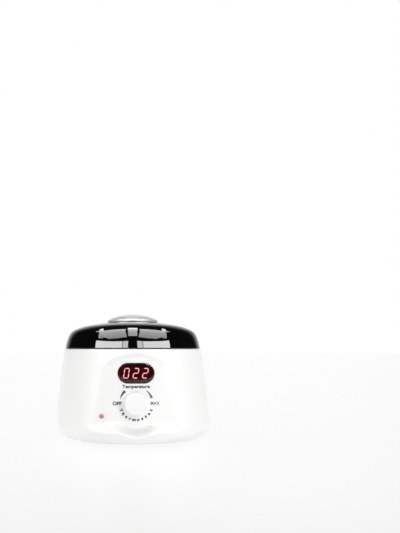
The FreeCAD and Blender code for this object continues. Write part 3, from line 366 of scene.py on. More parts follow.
@dataclass(frozen=True)
class SmokedWindow(Finish):
    """Clear-cast window dyed dark red: it darkens what is behind it and lets red light through."""

    swirl_mm: float = 3.0

    def detail(self, tree: Tree, shader: Any) -> None:
        """Let light through, and add faint polishing swirls to the gloss."""
        shader.inputs["Transmission Weight"].default_value = 1.0
        self.vary_roughness(tree, shader, self.noise(tree, self.swirl_mm, 4.0), 0.4)


@dataclass(frozen=True)
class LitPlastic(Finish):
    """Plastic with a lamp behind it: it glows in its own colour, a little unevenly."""

    glow: str = "ff3030"
    power: float = 1.0
    patch_mm: float = 1.4
    uneven: float = 0.2

    def detail(self, tree: Tree, shader: Any) -> None:
        """Add the glow, brighter in soft patches."""
        shader.inputs["Emission Color"].default_value = linear(self.glow)
        limits = {"to_min": self.power * (1 - self.uneven), "to_max": self.power * (1 + self.uneven)}
        level = self.span(tree, self.noise(tree, self.patch_mm), **limits)
        tree.links.new(level, shader.inputs["Emission Strength"])


@dataclass(frozen=True)
class PadPrint(Finish):
    """Pad-printed ink: thin, matt, and worn through in specks."""

    worn: str = "8b8b8d"
    speck_mm: float = 0.8

    def detail(self, tree: Tree, shader: Any) -> None:
        """Thin the ink in specks."""
        speck = self.noise(tree, self.speck_mm, 5.0)
        self.vary_colour(tree, shader, self.span(tree, speck, from_min=0.55, from_max=0.8), self.worn)


# White ABS from a polished tool: bright, with soft broad highlights.
WHITE_ABS = MouldedPlastic("moulded_gloss_abs", "f5f5f4", 0.5, ior=1.50, relief=0.006, mottle="eeeeed")
# The knob comes from a satin tool, so its highlights are broader still.
SATIN_ABS = MouldedPlastic("moulded_satin_abs", "f4f4f4", 0.46, ior=1.54, grain=Grain.SATIN, mottle="f2f2f1")
# The base is spark-eroded: flat white with a fine even grain.
BASE_ABS = MouldedPlastic("spark_eroded_abs", "ececea", 0.6, grain=Grain.SPARK_ERODED, relief=0.05)
# Black polystyrene from a mirror-polished tool: deep black under crisp reflections.
BLACK_STYRENE = MouldedPlastic(
    "mirror_moulded_styrene", "050506", 0.035, ior=1.59, relief=0.002, mottle="070708"
)
# Heat-resistant polyester for the collar: dark, half matt.
COLLAR_PBT = MouldedPlastic(
    "moulded_pbt", "17171a", 0.48, grain=Grain.SPARK_ERODED, relief=0.04, mottle="202024"
)
# The gland and the clamp are nylon from a satin tool: milky, half matt.
NYLON = MouldedPlastic("moulded_nylon", "e9e8e2", 0.5, ior=1.53, grain=Grain.SATIN, mottle="dcdad2")
# The terminal block is moulded from dyed nylon.
GREEN_NYLON = MouldedPlastic("terminal_nylon", "3f8a4c", 0.5, ior=1.53, grain=Grain.SATIN, mottle="35763f")
# The relay's case is a thin polyester moulding.
BLUE_CASE = MouldedPlastic("relay_case_pbt", "2c5ea8", 0.32, grain=Grain.SATIN, mottle="27539a")
# The capacitor wears a heat-shrunk sleeve, a little glossy.
DARK_SLEEVE = MouldedPlastic("shrunk_sleeve", "15152c", 0.35, grain=Grain.SATIN, mottle="1c1c38")
# The chip is moulded in filled epoxy, which comes out matt.
BLACK_EPOXY = MouldedPlastic("moulded_epoxy", "121213", 0.55, grain=Grain.SPARK_ERODED, mottle="1a1a1c")
# The thermostat's body is pressed from brown phenolic powder.
PHENOLIC = MouldedPlastic("moulded_phenolic", "5a3a26", 0.42, grain=Grain.SATIN, mottle="4a2e1e")
# The cap's middle is painted white without metal, a painted reflection of the bright room above; its edge is
# silver and mirrors the dark room: a soft grey sheen.
SILVER_LACQUER = SilverEdgePaintedTop("silver_edge_painted_white_top", "cdcdcf", 0.34, metallic=0.3)
# The handle's wire is drawn, bent and then bright plated.
CHROME_WIRE = PlatedMetal("nickel_plated_wire", "d9d8d4", 0.10, metallic=1.0, ripple_mm=3.0)
# The bushing's nut is turned from bar and nickel plated.
NICKEL = PlatedMetal("nickel_plated_steel", "cfcdc6", 0.16, metallic=1.0, ripple_mm=3.0)
# The pot is spun from sheet, which leaves fine rings.
SPUN_ALUMINIUM = SpunMetal("spun_aluminium", "d4d5d8", 0.26, metallic=1.0)
# The well is spun and then anodised, so it is duller than the pot.
ANODISED = SpunMetal("anodised_aluminium", "c3c4c8", 0.38, metallic=1.0, ring_mm=1.1)
# Screws, posts and the heat shield are zinc plated, which leaves a faint spangle.
ZINC = RolledMetal("zinc_plated_steel", "c6c6c0", 0.33, metallic=1.0)
# Lugs and rivets are pressed from rolled stainless steel.
STAINLESS = RolledMetal("pressed_stainless", "cbcccd", 0.24, metallic=1.0, tint="b5b7ba")
# The band heater's steel jacket is tinted brown by its own heat.
CLAD_STEEL = RolledMetal("heater_cladding", "a59c8c", 0.4, metallic=1.0, tint="8a7f6c")
# The clips and the spindle are hardened steel, dark from the furnace.
SPRING_STEEL = RolledMetal("spring_steel", "8f9196", 0.3, metallic=1.0, tint="7c7e84")
# The sensor bulbs are drawn copper, dulled in patches.
COPPER = SpunMetal("drawn_copper", "c9835a", 0.28, metallic=1.0, scuff="8f5a3c")
# The transformer's laminations are stacked and dipped in varnish.
CORE_STEEL = RolledMetal("varnished_laminations", "4b4b50", 0.45, metallic=0.6, tint="3a3a3f")
# The feet are moulded from black rubber.
RUBBER = MouldedRubber("moulded_rubber", "1b1b1b", 0.78)
# The blanket is woven glass cloth wrapped round the heater.
GLASS_CLOTH = WovenFibre("woven_glass_cloth", "e6e1d2", 0.85)
# The boards are etched and then coated with green resist.
GREEN_BOARD = Laminate("glass_epoxy_board", "1d6b34", 0.38)
# The well's spacer is fired steatite without a glaze.
CERAMIC = MouldedPlastic(
    "fired_steatite", "e8e2d2", 0.6, grain=Grain.SPARK_ERODED, relief=0.03, mottle="ddd5c2"
)
# The window is acrylic dyed right through and polished.
RED_WINDOW = SmokedWindow("dyed_acrylic_window", "c08a8e", 0.05, ior=1.49)
# The module's face is a diffusing film that picks up stray light from its lamps.
MODULE_FACE = LitPlastic("diffused_module_face", "0d0405", 0.6, glow="5a0a10", power=0.5, patch_mm=9.0)
# Lit segments are clear resin cast over their lamps.
LIT_SEGMENT = LitPlastic("lit_segment", "ffe0e4", 0.5, glow="fff4f6", power=2.8, uneven=0.6)
# Unlit segments catch a little of their neighbours' light.
DARK_SEGMENT = LitPlastic("unlit_segment", "220708", 0.5, glow="5a0a10", power=0.8)
# The pilot's lens is moulded polycarbonate with a lamp lit behind it.
PILOT_RED = LitPlastic("lit_red_polycarbonate", "7c3442", 0.12, ior=1.58, glow="ffb4c2", power=0.33)
# The neon lamp is blown glass with its gas alight.
LAMP_GLASS = LitPlastic("neon_lamp_glass", "ffb08a", 0.1, glow="ff6a3a", power=1.5)
# The table top is opal acrylic with lamps under it.
OPAL_TABLE = LitPlastic(
    "opal_acrylic_table", "303030", 0.4, glow="ffffff", power=0.76, patch_mm=400.0, uneven=0.01
)
# The captions and the scale are pad printed in black.
INK = PadPrint("pad_printed_ink", "1e1e20", 0.55, worn="3a3a3c")
# The paler print has less ink from the pad.
PALE_INK = PadPrint("pad_printed_ink_pale", "4c4c50", 0.55, worn="68686a")


# ---------------------------------------------------------------- mesh helpers


def rounded(corners: Sequence[tuple[float, ...]], steps: int = 6, closed: bool = False) -> list[Point]:
    """Round the corners of an outline.

    Args:
        corners: (across, up) or (across, up, radius) for each corner.
        steps: how many edges each rounding has.
        closed: whether the last corner joins the first.

    Returns:
        The outline's points with each corner replaced by its arc.
    """
    count = len(corners)
    result: list[Point] = []
    for index, corner in enumerate(corners):
        here = Vector(corner[:2])
        radius = corner[2] if len(corner) == 3 else 0.0
        if radius <= 0 or (not closed and index in (0, count - 1)):
            result.append((here.x, here.y))
            continue
        back = (Vector(corners[index - 1][:2]) - here).normalized()
        ahead = (Vector(corners[(index + 1) % count][:2]) - here).normalized()
        half = back.angle(ahead) / 2
        middle = here + (back + ahead).normalized() * (radius / math.sin(half))
        start = here + back * (radius / math.tan(half)) - middle
        sweep = math.pi - 2 * half
        side = 1 if back.x * ahead.y - back.y * ahead.x < 0 else -1
        for step in range(steps + 1):
            turn = Matrix.Rotation(side * sweep * step / steps, 2)
            spot = middle + turn @ start
            result.append((spot.x, spot.y))
    return result


def finish_mesh(name: str, built: bmesh.types.BMesh, smooth_degrees: float = SMOOTH_DEGREES) -> Mesh:
    """Turn a built form into a mesh that is smooth up to an angle.

    Args:
        name: the mesh's name.
        built: the form, which is freed.
        smooth_degrees: edges sharper than this stay sharp.

    Returns:
        The mesh, in metres.
    """
    bmesh.ops.recalc_face_normals(built, faces=built.faces)
    mesh = bpy.data.meshes.new(name)
    built.to_mesh(mesh)
    built.free()
    mesh.shade_smooth()
    mesh.set_sharp_from_angle(angle=math.radians(smooth_degrees))
    return mesh


def loft(rings: Sequence[Sequence[Vector]], loop: bool = False) -> bmesh.types.BMesh:
    """Join rings of equal count into a closed skin.

    Args:
        rings: the rings in order; a ring of one point is a pole.
        loop: whether the last ring joins the first; otherwise open ends are capped.

    Returns:
        The skin as a BMesh, in the rings' own units times MM.
    """
    built = bmesh.new()
    rows = [[built.verts.new(point * MM) for point in ring] for ring in rings]
    pairs = list(zip(rows, rows[1:]))
    if loop:
        pairs.append((rows[-1], rows[0]))
    for low, high in pairs:
        count = max(len(low), len(high))
        for i in range(count):
            j = (i + 1) % count
            face = [low[i % len(low)], low[j % len(low)], high[j % len(high)], high[i % len(high)]]
            built.faces.new(list(dict.fromkeys(face)))
    if not loop:
        for row in (rows[0], rows[-1]):
            if len(row) > 2:
                built.faces.new(row)
    return built


def circle(radius: float, height: float, count: int) -> list[Vector]:
    """List the points of a level ring; a ring of no radius is one point."""
    if radius < 1e-6:
        return [Vector((0, 0, height))]
    turns = [math.tau * i / count for i in range(count)]
    return [Vector((radius * math.cos(turn), radius * math.sin(turn), height)) for turn in turns]


def lathe(name: str, profile: Sequence[Point], count: int = 96, loop: bool = False) -> Mesh:
    """Turn a profile about the upright axis.

    Args:
        name: the mesh's name.
        profile: (radius, height) points in millimetres.
        count: how many sides the round has.
        loop: whether the profile is a closed loop.

    Returns:
        The turned mesh.
    """
    return finish_mesh(name, loft([circle(r, z, count) for r, z in profile], loop))


def stadium(width: float, tall: float, depth: float, steps: int = 20) -> list[Vector]:
    """List the points of an upright outline with half-round ends, at one depth from the front."""
    radius = tall / 2
    side = (width - tall) / 2
    points = []
    for end in (0, 1):
        for step in range(steps + 1):
            turn = math.pi * (end + step / steps) - math.pi / 2
            shift = side if end == 0 else -side
            points.append(Vector((shift + radius * math.cos(turn), depth, radius * math.sin(turn))))
    return points


def move_mesh(mesh: Mesh, place: Matrix) -> Mesh:
    """Apply a place, given in millimetres, to a mesh."""
    shift = Matrix.Translation(place.to_translation() * MM)
    mesh.transform(shift @ place.to_3x3().to_4x4())
    return mesh


def at(x: float, y: float, z: float, turn: Matrix | None = None) -> Matrix:
    """Give the place of something turned and then set down at x, y, z."""
    return Matrix.Translation((x, y, z)) @ (turn or Matrix.Identity(4))


def joined(name: str, meshes: Iterable[Mesh]) -> Mesh:
    """Collect several closed meshes in one."""
    built = bmesh.new()
    for mesh in meshes:
        built.from_mesh(mesh)
        bpy.data.meshes.remove(mesh)
    return finish_mesh(name, built)


def add_piece(
    name: str,
    mesh: Mesh,
    body: Body,
    finish: Finish,
    stands_for: Sequence[str] = (),
) -> bpy.types.Object:
    """Add a finished piece to the object.

    Args:
        name: the piece's name.
        mesh: its mesh, already in place.
        body: the body that it moves with.
        finish: what its surface is.
        stands_for: the frame's nodes that it replaces.

    Returns:
        The new object.
    """
    piece = bpy.data.objects.new(name, mesh)
    bpy.context.scene.collection.objects.link(piece)
    mesh.materials.clear()
    mesh.materials.append(finish.material())
    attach(piece, body.value)
    if stands_for:
        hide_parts(*stands_for)
    LOG.info("%-22s %6d faces on %s", name, len(mesh.polygons), body.value)
    return piece


def cut_holes(mesh: Mesh, cutters: Sequence[Mesh]) -> Mesh:
    """Cut closed forms out of a closed mesh.

    Args:
        mesh: the mesh to cut.
        cutters: closed forms, which are used up.

    Returns:
        A new mesh with the holes.
    """
    scene = bpy.context.scene
    base = bpy.data.objects.new("cut_base", mesh)
    scene.collection.objects.link(base)
    tools = []
    for number, cutter in enumerate(cutters):
        tool = bpy.data.objects.new("cutter_%d" % number, cutter)
        scene.collection.objects.link(tool)
        tools.append(tool)
        cut = base.modifiers.new("hole_%d" % number, "BOOLEAN")
        cut.operation = "DIFFERENCE"
        cut.solver = "EXACT"
        cut.object = tool
    graph = bpy.context.evaluated_depsgraph_get()
    result = bpy.data.meshes.new_from_object(base.evaluated_get(graph))
    result.name = mesh.name + "_cut"
    for helper in [base, *tools]:
        data = helper.data
        bpy.data.objects.remove(helper)
        bpy.data.meshes.remove(data)
    result.shade_smooth()
    result.set_sharp_from_angle(angle=math.radians(SMOOTH_DEGREES))
    return result


# ---------------------------------------------------------------- repeats by geometry nodes


def open_tree(name: str, inputs: dict[str, str]) -> tuple[Tree, Any]:
    """Start a geometry node tree.

    Args:
        name: the tree's name.
        inputs: input name to the kind of its socket, besides the geometry and the material.

    Returns:
        The tree and its named inputs.
    """
    tree = bpy.data.node_groups.new(name, "GeometryNodeTree")
    for label, kind in {"Geometry": "Geometry", **inputs, "Material": "Material"}.items():
        tree.interface.new_socket(label, in_out="INPUT", socket_type="NodeSocket" + kind)
    tree.interface.new_socket("Geometry", in_out="OUTPUT", socket_type="NodeSocketGeometry")
    return tree, add_node(tree, "NodeGroupInput").outputs


def close_tree(tree: Tree, shape: Socket, material: Socket) -> Tree:
    """End a geometry node tree by making its copies real and giving them their material."""
    real = add_node(tree, "GeometryNodeRealizeInstances", {"Geometry": shape})
    inputs = {"Geometry": real.outputs[0], "Material": material}
    dressed = add_node(tree, "GeometryNodeSetMaterial", inputs)
    add_node(tree, "NodeGroupOutput", {0: dressed.outputs[0]})
    return tree


@dataclass(frozen=True)
class RingRepeat:
    """Sets one piece down evenly round a ring, each turned to face outward."""

    count: int
    radius: float
    start_degrees: float = 0.0

    def tree(self) -> Tree:
        """Build the node tree with named inputs for the ring's sizes.

        Returns:
            The geometry node tree.
        """
        tree, given = open_tree("ring_repeat", {"Count": "Int", "Radius": "Float", "Start": "Float"})
        points = add_node(tree, "GeometryNodePoints", {"Count": given["Count"]})
        index = add_node(tree, "GeometryNodeInputIndex").outputs["Index"]
        share = add_node(tree, "ShaderNodeMath", {0: index, 1: given["Count"]}, operation="DIVIDE")
        inputs = {0: share.outputs["Value"], 1: math.tau, 2: given["Start"]}
        turn = add_node(tree, "ShaderNodeMath", inputs, operation="MULTIPLY_ADD")
        spin = add_node(tree, "ShaderNodeCombineXYZ", {"Z": turn.outputs["Value"]}).outputs["Vector"]
        out = add_node(tree, "ShaderNodeCombineXYZ", {"X": given["Radius"]}).outputs["Vector"]
        inputs = {"Vector": out, "Rotation": spin}
        spot = add_node(tree, "ShaderNodeVectorRotate", inputs, rotation_type="EULER_XYZ")
        inputs = {"Geometry": points.outputs[0], "Position": spot.outputs["Vector"]}
        placed = add_node(tree, "GeometryNodeSetPosition", inputs)
        inputs = {"Points": placed.outputs[0], "Instance": given["Geometry"], "Rotation": spin}
        repeated = add_node(tree, "GeometryNodeInstanceOnPoints", inputs)
        return close_tree(tree, repeated.outputs[0], given["Material"])

    def apply(self, name: str, unit: Mesh, finish: Finish) -> Mesh:
        """Repeat a piece and give the result as a plain mesh.

        Args:
            name: the result's name.
            unit: the piece, made at the ring's middle with +X outward.
            finish: what its surface is.

        Returns:
            One mesh that holds every copy.
        """
        values = {
            "Count": self.count,
            "Radius": self.radius * MM,
            "Start": math.radians(self.start_degrees),
            "Material": finish.material(),
        }
        return run_tree(name, unit, self.tree(), values)


def run_tree(name: str, start: Mesh, tree: Tree, values: dict) -> Mesh:
    """Run a geometry node tree on a mesh and keep only the plain result.

    Args:
        name: the result's name.
        start: the mesh that the tree starts from, which is used up.
        tree: the geometry node tree.
        values: input name to value.

    Returns:
        The evaluated mesh.
    """
    holder = bpy.data.objects.new(name + "_tree", start)
    bpy.context.scene.collection.objects.link(holder)
    modifier = holder.modifiers.new("nodes", "NODES")
    modifier.node_group = tree
    for item in tree.interface.items_tree:
        if item.in_out == "INPUT" and item.name in values:
            modifier[item.identifier] = values[item.name]
    graph = bpy.context.evaluated_depsgraph_get()
    result = bpy.data.meshes.new_from_object(holder.evaluated_get(graph))
    result.name = name
    bpy.data.objects.remove(holder)
    bpy.data.meshes.remove(start)
    bpy.data.node_groups.remove(tree)
    result.shade_smooth()
    result.set_sharp_from_angle(angle=math.radians(SMOOTH_DEGREES))
    return result


def path_mesh(name: str, points: Sequence[Vector]) -> Mesh:
    """Make a mesh of edges through the points, for a tree that follows a path."""
    mesh = bpy.data.meshes.new(name)
    mesh.from_pydata([point * MM for point in points], [(i, i + 1) for i in range(len(points) - 1)], [])
    return mesh


@dataclass(frozen=True)
class RoundWire:
    """Bends round wire along a path, with its corners eased."""

    radius: float
    ease: float
    sides: int = 20

    def tree(self) -> Tree:
        """Build the node tree that thickens a path into wire.

        Returns:
            The geometry node tree.
        """
        tree, given = open_tree("round_wire", {"Wire Radius": "Float", "Ease": "Float", "Sides": "Int"})
        line = add_node(tree, "GeometryNodeMeshToCurve", {"Mesh": given["Geometry"]})
        inputs = {"Curve": line.outputs[0], "Radius": given["Ease"], "Limit Radius": True, "Count": 8}
        eased = add_node(tree, "GeometryNodeFilletCurve", inputs, mode="POLY")
        inputs = {"Resolution": given["Sides"], "Radius": given["Wire Radius"]}
        section = add_node(tree, "GeometryNodeCurvePrimitiveCircle", inputs)
        inputs = {"Curve": eased.outputs[0], "Profile Curve": section.outputs[0], "Fill Caps": True}
        thick = add_node(tree, "GeometryNodeCurveToMesh", inputs)
        return close_tree(tree, thick.outputs[0], given["Material"])

    def apply(self, name: str, points: Sequence[Vector], finish: Finish) -> Mesh:
        """Make the wire along a path.

        Args:
            name: the result's name.
            points: the path's corners in millimetres.
            finish: what its surface is.

        Returns:
            The wire as a mesh with closed ends.
        """
        values = {
            "Wire Radius": self.radius * MM,
            "Ease": self.ease * MM,
            "Sides": self.sides,
            "Material": finish.material(),
        }
        return run_tree(name, path_mesh(name + "_path", points), self.tree(), values)


# ---------------------------------------------------------------- housing


@dataclass
class Housing:
    """The white shell: a rounded cone with an arched flat softly pressed into its front."""

    underside: float = 1.8
    foot_radius: float = 88.4
    top: float = 99.0
    top_radius: float = 76.9
    foot_round: float = 17.0
    rim_round: float = 1.2
    wall: float = 2.5
    opening: float = 66.0
    ledge_radius: float = 71.0
    ledge_bottom: float = 93.5
    ledge_top: float = 95.5
    panel: float = 73.0
    arch_radius: float = 55.0
    arch_centre: float = 39.0
    chin: float = 20.5
    chin_dip_radius: float = 24.6
    chin_dip_half: float = 15.5
    chin_blend: float = 0.8
    edge_softness: float = 1.6
    # How far the panel's edge eases in, from outside it to inside, under the arch and over the ledge.
    arch_ease: Point = (-1.4, 4.6)
    chin_ease: Point = (-6.0, 4.5)
    fine_half_angle: float = 44.0
    # Bands of rings from the foot up: where each starts, the gap between its rings, and their count.
    bands: tuple[tuple[float, float, int], ...] = ((12.5, 0.4, 28), (24.0, 1.55, 40), (86.0, 0.6, 19))
    # Holes through the wall, and how far each side of the panel the front ones are cut.
    hole_slack: float = 0.3
    hole_reach: float = 6.0
    spindle_hole: float = 4.65
    pilot_hole: float = 2.6
    cord_hole: float = 5.7
    cord_start: float = 74.0
    cord_height: float = 20.0
    # The screw bosses, and the ribs that tie them to the wall.
    boss_ring: float = 58.0
    boss_radius: float = 4.0
    boss_top: float = 34.0
    boss_bore: float = 1.6
    bore_bottom: float = 12.0
    rib_start: float = 3.2
    rib_end: float = 25.5
    rib_half: float = 1.0
    rib_bottom: float = 14.0

    def outer_radius(self, height: float) -> float:
        """Give the radius of the shell without its panel, at a height."""
        lean = (self.foot_radius - self.top_radius) / (self.top - self.underside)
        cone = self.foot_radius - (height - self.underside) * lean
        flat_end, centre = self.foot_arc()
        if height >= centre:
            return cone
        rise = self.foot_round**2 - (centre - height) ** 2
        return min(cone, flat_end + math.sqrt(max(rise, 0.0)))

    def foot_arc(self) -> Point:
        """Give the radius and height of the middle of the rounding at the foot."""
        lean = math.atan2(self.foot_radius - self.top_radius, self.top - self.underside)
        inset = self.foot_round / math.tan((math.pi / 2 - lean) / 2)
        return self.foot_radius - inset, self.underside + self.foot_round

    def chin_height(self, across: float) -> float:
        """Give the height of the ledge under the panel, which dips in its middle."""
        drop = math.sqrt(self.chin_dip_radius**2 - self.chin_dip_half**2)
        inside = self.chin_dip_radius**2 - across**2
        bowl = self.chin + drop - math.sqrt(inside) if inside > 0 else self.chin + drop
        blend = self.chin_blend
        return -blend * math.log(math.exp(-bowl / blend) + math.exp(-self.chin / blend))

    def recess(self, angle: float, height: float) -> float:
        """Tell how far the panel is pressed in.

        Args:
            angle: the turn from straight ahead, in radians.
            height: the height above the table.

        Returns:
            The depth below the cone, in millimetres, along the radius.
        """
        if abs(angle) > math.radians(self.fine_half_angle + 6):
            return 0.0
        depth = self.outer_radius(max(height, self.chin)) - self.panel / math.cos(angle)
        soft = self.edge_softness * math.log1p(math.exp(min(depth / self.edge_softness, 40)))
        across = self.panel * math.tan(angle)
        below_arch = self.arch_radius - math.hypot(across, max(height - self.arch_centre, 0.0))
        top = smooth_step(*self.arch_ease, below_arch)
        bottom = smooth_step(*self.chin_ease, height - self.chin_height(across))
        return soft * top * bottom

    def levels(self) -> list[float]:
        """List the heights of the shell's rings, closer where the panel starts and ends."""
        _, centre = self.foot_arc()
        steps = 12
        bend = [centre - self.foot_round * math.cos(math.pi / 2 * i / steps) for i in range(1, steps + 1)]
        foot = [z for z in bend if z < self.bands[0][0]]
        rows = [start + gap * i for start, gap, count in self.bands for i in range(count)]
        return [*foot, *rows]

    def angles(self) -> list[float]:
        """List the turns of the shell's columns from straight ahead, closer across the panel."""
        fine = [math.radians(self.fine_half_angle) * (i / 60 - 1) for i in range(121)]
        start = math.radians(self.fine_half_angle)
        rest = [start + (math.tau - 2 * start) * i / 92 for i in range(1, 92)]
        return [*fine, *rest]

    def ring(self, height: float, inset: float, fixed: float | None = None) -> list[Vector]:
        """Make one ring of the shell.

        Args:
            height: its height.
            inset: how far inside the outer surface it lies.
            fixed: a radius to use instead of the shell's own.

        Returns:
            The ring's points.
        """
        points = []
        for angle in self.angles():
            turn = angle if angle <= math.pi else angle - math.tau
            radius = fixed
            if fixed is None:
                radius = self.outer_radius(height) - inset - self.recess(turn, height)
            points.append(Vector((radius * math.sin(angle), -radius * math.cos(angle), height)))
        return points

    def shell_mesh(self) -> Mesh:
        """Build the shell, outside, rim, ledge, inside and foot, as one closed skin.

        Returns:
            The mesh with its window, knob, pilot light and cord holes cut.
        """
        flat_end, _ = self.foot_arc()
        floor = self.underside + self.wall
        rings = [self.ring(self.underside, 0, self.opening), self.ring(self.underside, 0, flat_end)]
        rings += [self.ring(z, 0) for z in self.levels()]
        for step in range(1, 7):
            turn = math.pi / 2 * step / 6
            height = self.top - self.rim_round * (1 - math.sin(turn))
            rings.append(self.ring(height, self.rim_round * (1 - math.cos(turn))))
        rings.append(self.ring(self.top, self.wall - 0.4))
        rings.append(self.ring(self.top - 0.4, self.wall))
        rings.append(self.ring(self.ledge_top, self.wall))
        rings.append(self.ring(self.ledge_top, 0, self.ledge_radius))
        rings.append(self.ring(self.ledge_bottom, 0, self.ledge_radius))
        inner = [z for z in self.levels() if floor + 2 < z < self.ledge_bottom - 0.5]
        rings += [self.ring(z, self.wall) for z in reversed(inner)]
        rings.append(self.ring(floor, 0, flat_end))
        rings.append(self.ring(floor, 0, self.opening))
        shell = finish_mesh("body_shell_skin", loft(rings, loop=True))
        return cut_holes(shell, self.hole_cutters())

    def hole_cutters(self) -> list[Mesh]:
        """Make the forms of the window, knob, pilot light and cord holes."""
        window = Window()
        front, back = -self.panel - self.hole_reach, -self.panel + self.hole_reach
        outline = stadium(window.width + self.hole_slack, window.tall + self.hole_slack, 0)
        opening = [[point + Vector((0, y, window.centre)) for point in outline] for y in (front, back)]
        bar = [(0, 0), (1, 0), (1, 1), (0, 1)]
        holes = [
            (self.spindle_hole, 14, at(0, back, Knob.centre, OUT_OF_FRONT)),
            (self.pilot_hole, 14, at(PilotLight.side, back, PilotLight.centre, OUT_OF_FRONT)),
            (self.cord_hole, 20, at(0, self.cord_start, self.cord_height, OUT_OF_REAR)),
        ]
        cutters = [finish_mesh("window_cut", loft(opening))]
        for radius, length, place in holes:
            profile = [(radius * r, length * z) for r, z in bar]
            cutters.append(move_mesh(lathe("hole_cut", profile, 40), place))
        return cutters

    def boss_mesh(self) -> Mesh:
        """Build the four screw bosses with the ribs that tie them to the wall."""
        floor = self.underside + self.wall
        radius, bore, top, low = self.boss_radius, self.boss_bore, self.boss_top, self.bore_bottom
        post = [(0, floor), (radius, floor), (radius, top), (bore, top), (bore, low), (0, low)]
        near, far, half = self.rib_start, self.rib_end, self.rib_half
        rib = [(near, -half), (far, -half), (far, half), (near, half)]
        web = loft([[Vector((x, y, z)) for x, y in rib] for z in (self.rib_bottom, top)])
        unit = joined("boss_unit", [lathe("boss", post, 32), finish_mesh("rib", web)])
        return RingRepeat(4, self.boss_ring, 45.0).apply("shell_bosses", unit, WHITE_ABS)

    def build(self) -> None:
        """Make the shell and dress it."""
        shell = self.shell_mesh()
        add_piece("housing_shell", shell, Body.HOUSING, WHITE_ABS, ["body_shell"])
        add_piece("housing_bosses", self.boss_mesh(), Body.HOUSING, WHITE_ABS)


def lean_direction(lean: float) -> Vector:
    """Give the outward direction, across and up, of a wall that leans in by an angle."""
    return Vector((math.cos(lean), math.sin(lean)))


def heading(turn: float, rise: float) -> Vector:
    """Give the direction at a turn from straight ahead to the right and a rise, in radians."""
    return Vector((math.sin(turn) * math.cos(rise), -math.cos(turn) * math.cos(rise), math.sin(rise)))


def smooth_step(low: float, high: float, value: float) -> float:
    """Ease from nought to one as a value goes from low to high."""
    share = min(max((value - low) / (high - low), 0.0), 1.0)
    return share * share * (3 - 2 * share)


# ---------------------------------------------------------------- display


@dataclass
class Window:
    """The dark red window: flat in the middle, with a broad rounded border."""

    width: float = 37.5
    tall: float = 20.9
    centre: float = 74.4
    face: float = 73.5
    back: float = 70.5
    flange: float = 1.0
    border: float = 3.2
    drop: float = 1.1
    top_drop: float = 0.12
    edge_round: float = 0.15
    border_round: float = 6.0
    # Where the slope turns from its lower kind to its upper, as shares of the height from the middle.
    slope_ends: Point = (-0.42, -0.28)

    def side(self, drop: float) -> list[tuple[float, float]]:
        """Give the edge's outline, as inset and depth, for one drop of the border."""
        return rounded(
            [
                (-self.flange, -self.back + self.flange),
                (-self.flange, -self.back + 0.05),
                (0, -self.back),
                (0, -self.face + drop, self.edge_round),
                (self.border, -self.face, self.border_round),
                (self.border + 1.5, -self.face),
            ],
            4,
        )

    def mesh(self) -> Mesh:
        """Build the lens, its border sloping more below than above."""
        rings = []
        for (inset, low), (_, high) in zip(self.side(self.drop), self.side(self.top_drop)):
            ring = stadium(self.width - 2 * inset, self.tall - 2 * inset, low)
            for point in ring:
                point.y += (high - low) * smooth_step(*self.slope_ends, point.z / self.tall)
            rings.append(ring)
        mesh = finish_mesh("window", loft(rings), 50)
        return move_mesh(mesh, at(0, 0, self.centre))

    def build(self) -> None:
        """Make the window and dress it."""
        add_piece("window_lens", self.mesh(), Body.HOUSING, RED_WINDOW, ["display_window"])


@dataclass
class Digits:
    """Three leaning seven-segment digits on the face of the module."""

    reading: str = "022"
    pitch: float = 9.65
    width: float = 4.7
    tall: float = 9.8
    stroke: float = 0.85
    lean_degrees: float = 9.0
    gap: float = 0.3
    face: float = 69.32
    thickness: float = 0.12
    centre: float = 74.4

    # Which of the seven segments each figure lights, from the top clockwise, middle last.
    LIT: ClassVar[dict[str, str]] = {"0": "abcdef", "2": "abged"}

    def segment(self, start: Point, end: Point) -> bmesh.types.BMesh:
        """Make one pointed segment between two corners of a digit."""
        a, b = Vector(start), Vector(end)
        along = (b - a).normalized()
        side = Vector((-along.y, along.x)) * self.stroke / 2
        a, b = a + along * self.gap, b - along * self.gap
        tip = along * self.stroke / 2
        outline = [a, a + tip + side, b - tip + side, b, b - tip - side, a + tip - side]
        lean = math.tan(math.radians(self.lean_degrees))
        rows = [
            [Vector((p.x + p.y * lean, y, p.y)) for p in outline]
            for y in (-self.face, -self.face - self.thickness)
        ]
        return loft(rows)

    def corners(self) -> dict[str, tuple[Point, Point]]:
        """Give each segment's two ends in a digit centred on nought."""
        w, t = self.width / 2, self.tall / 2
        return {
            "a": ((-w, t), (w, t)),
            "b": ((w, t), (w, 0)),
            "c": ((w, 0), (w, -t)),
            "d": ((-w, -t), (w, -t)),
            "e": ((-w, 0), (-w, -t)),
            "f": ((-w, t), (-w, 0)),
            "g": ((-w, 0), (w, 0)),
        }

    def build(self) -> None:
        """Make the lit and the dark segments, each as one piece."""
        groups: dict[bool, list[Mesh]] = {True: [], False: []}
        for place, figure in enumerate(self.reading):
            shift = (place - (len(self.reading) - 1) / 2) * self.pitch
            for letter, (start, end) in self.corners().items():
                mesh = finish_mesh("segment", self.segment(start, end))
                groups[letter in self.LIT[figure]].append(move_mesh(mesh, at(shift, 0, self.centre)))
        for lit, name, finish in ((True, "digits_lit", LIT_SEGMENT), (False, "digits_dark", DARK_SEGMENT)):
            add_piece(name, joined(name, groups[lit]), Body.HOUSING, finish)


# ---------------------------------------------------------------- print on the panel


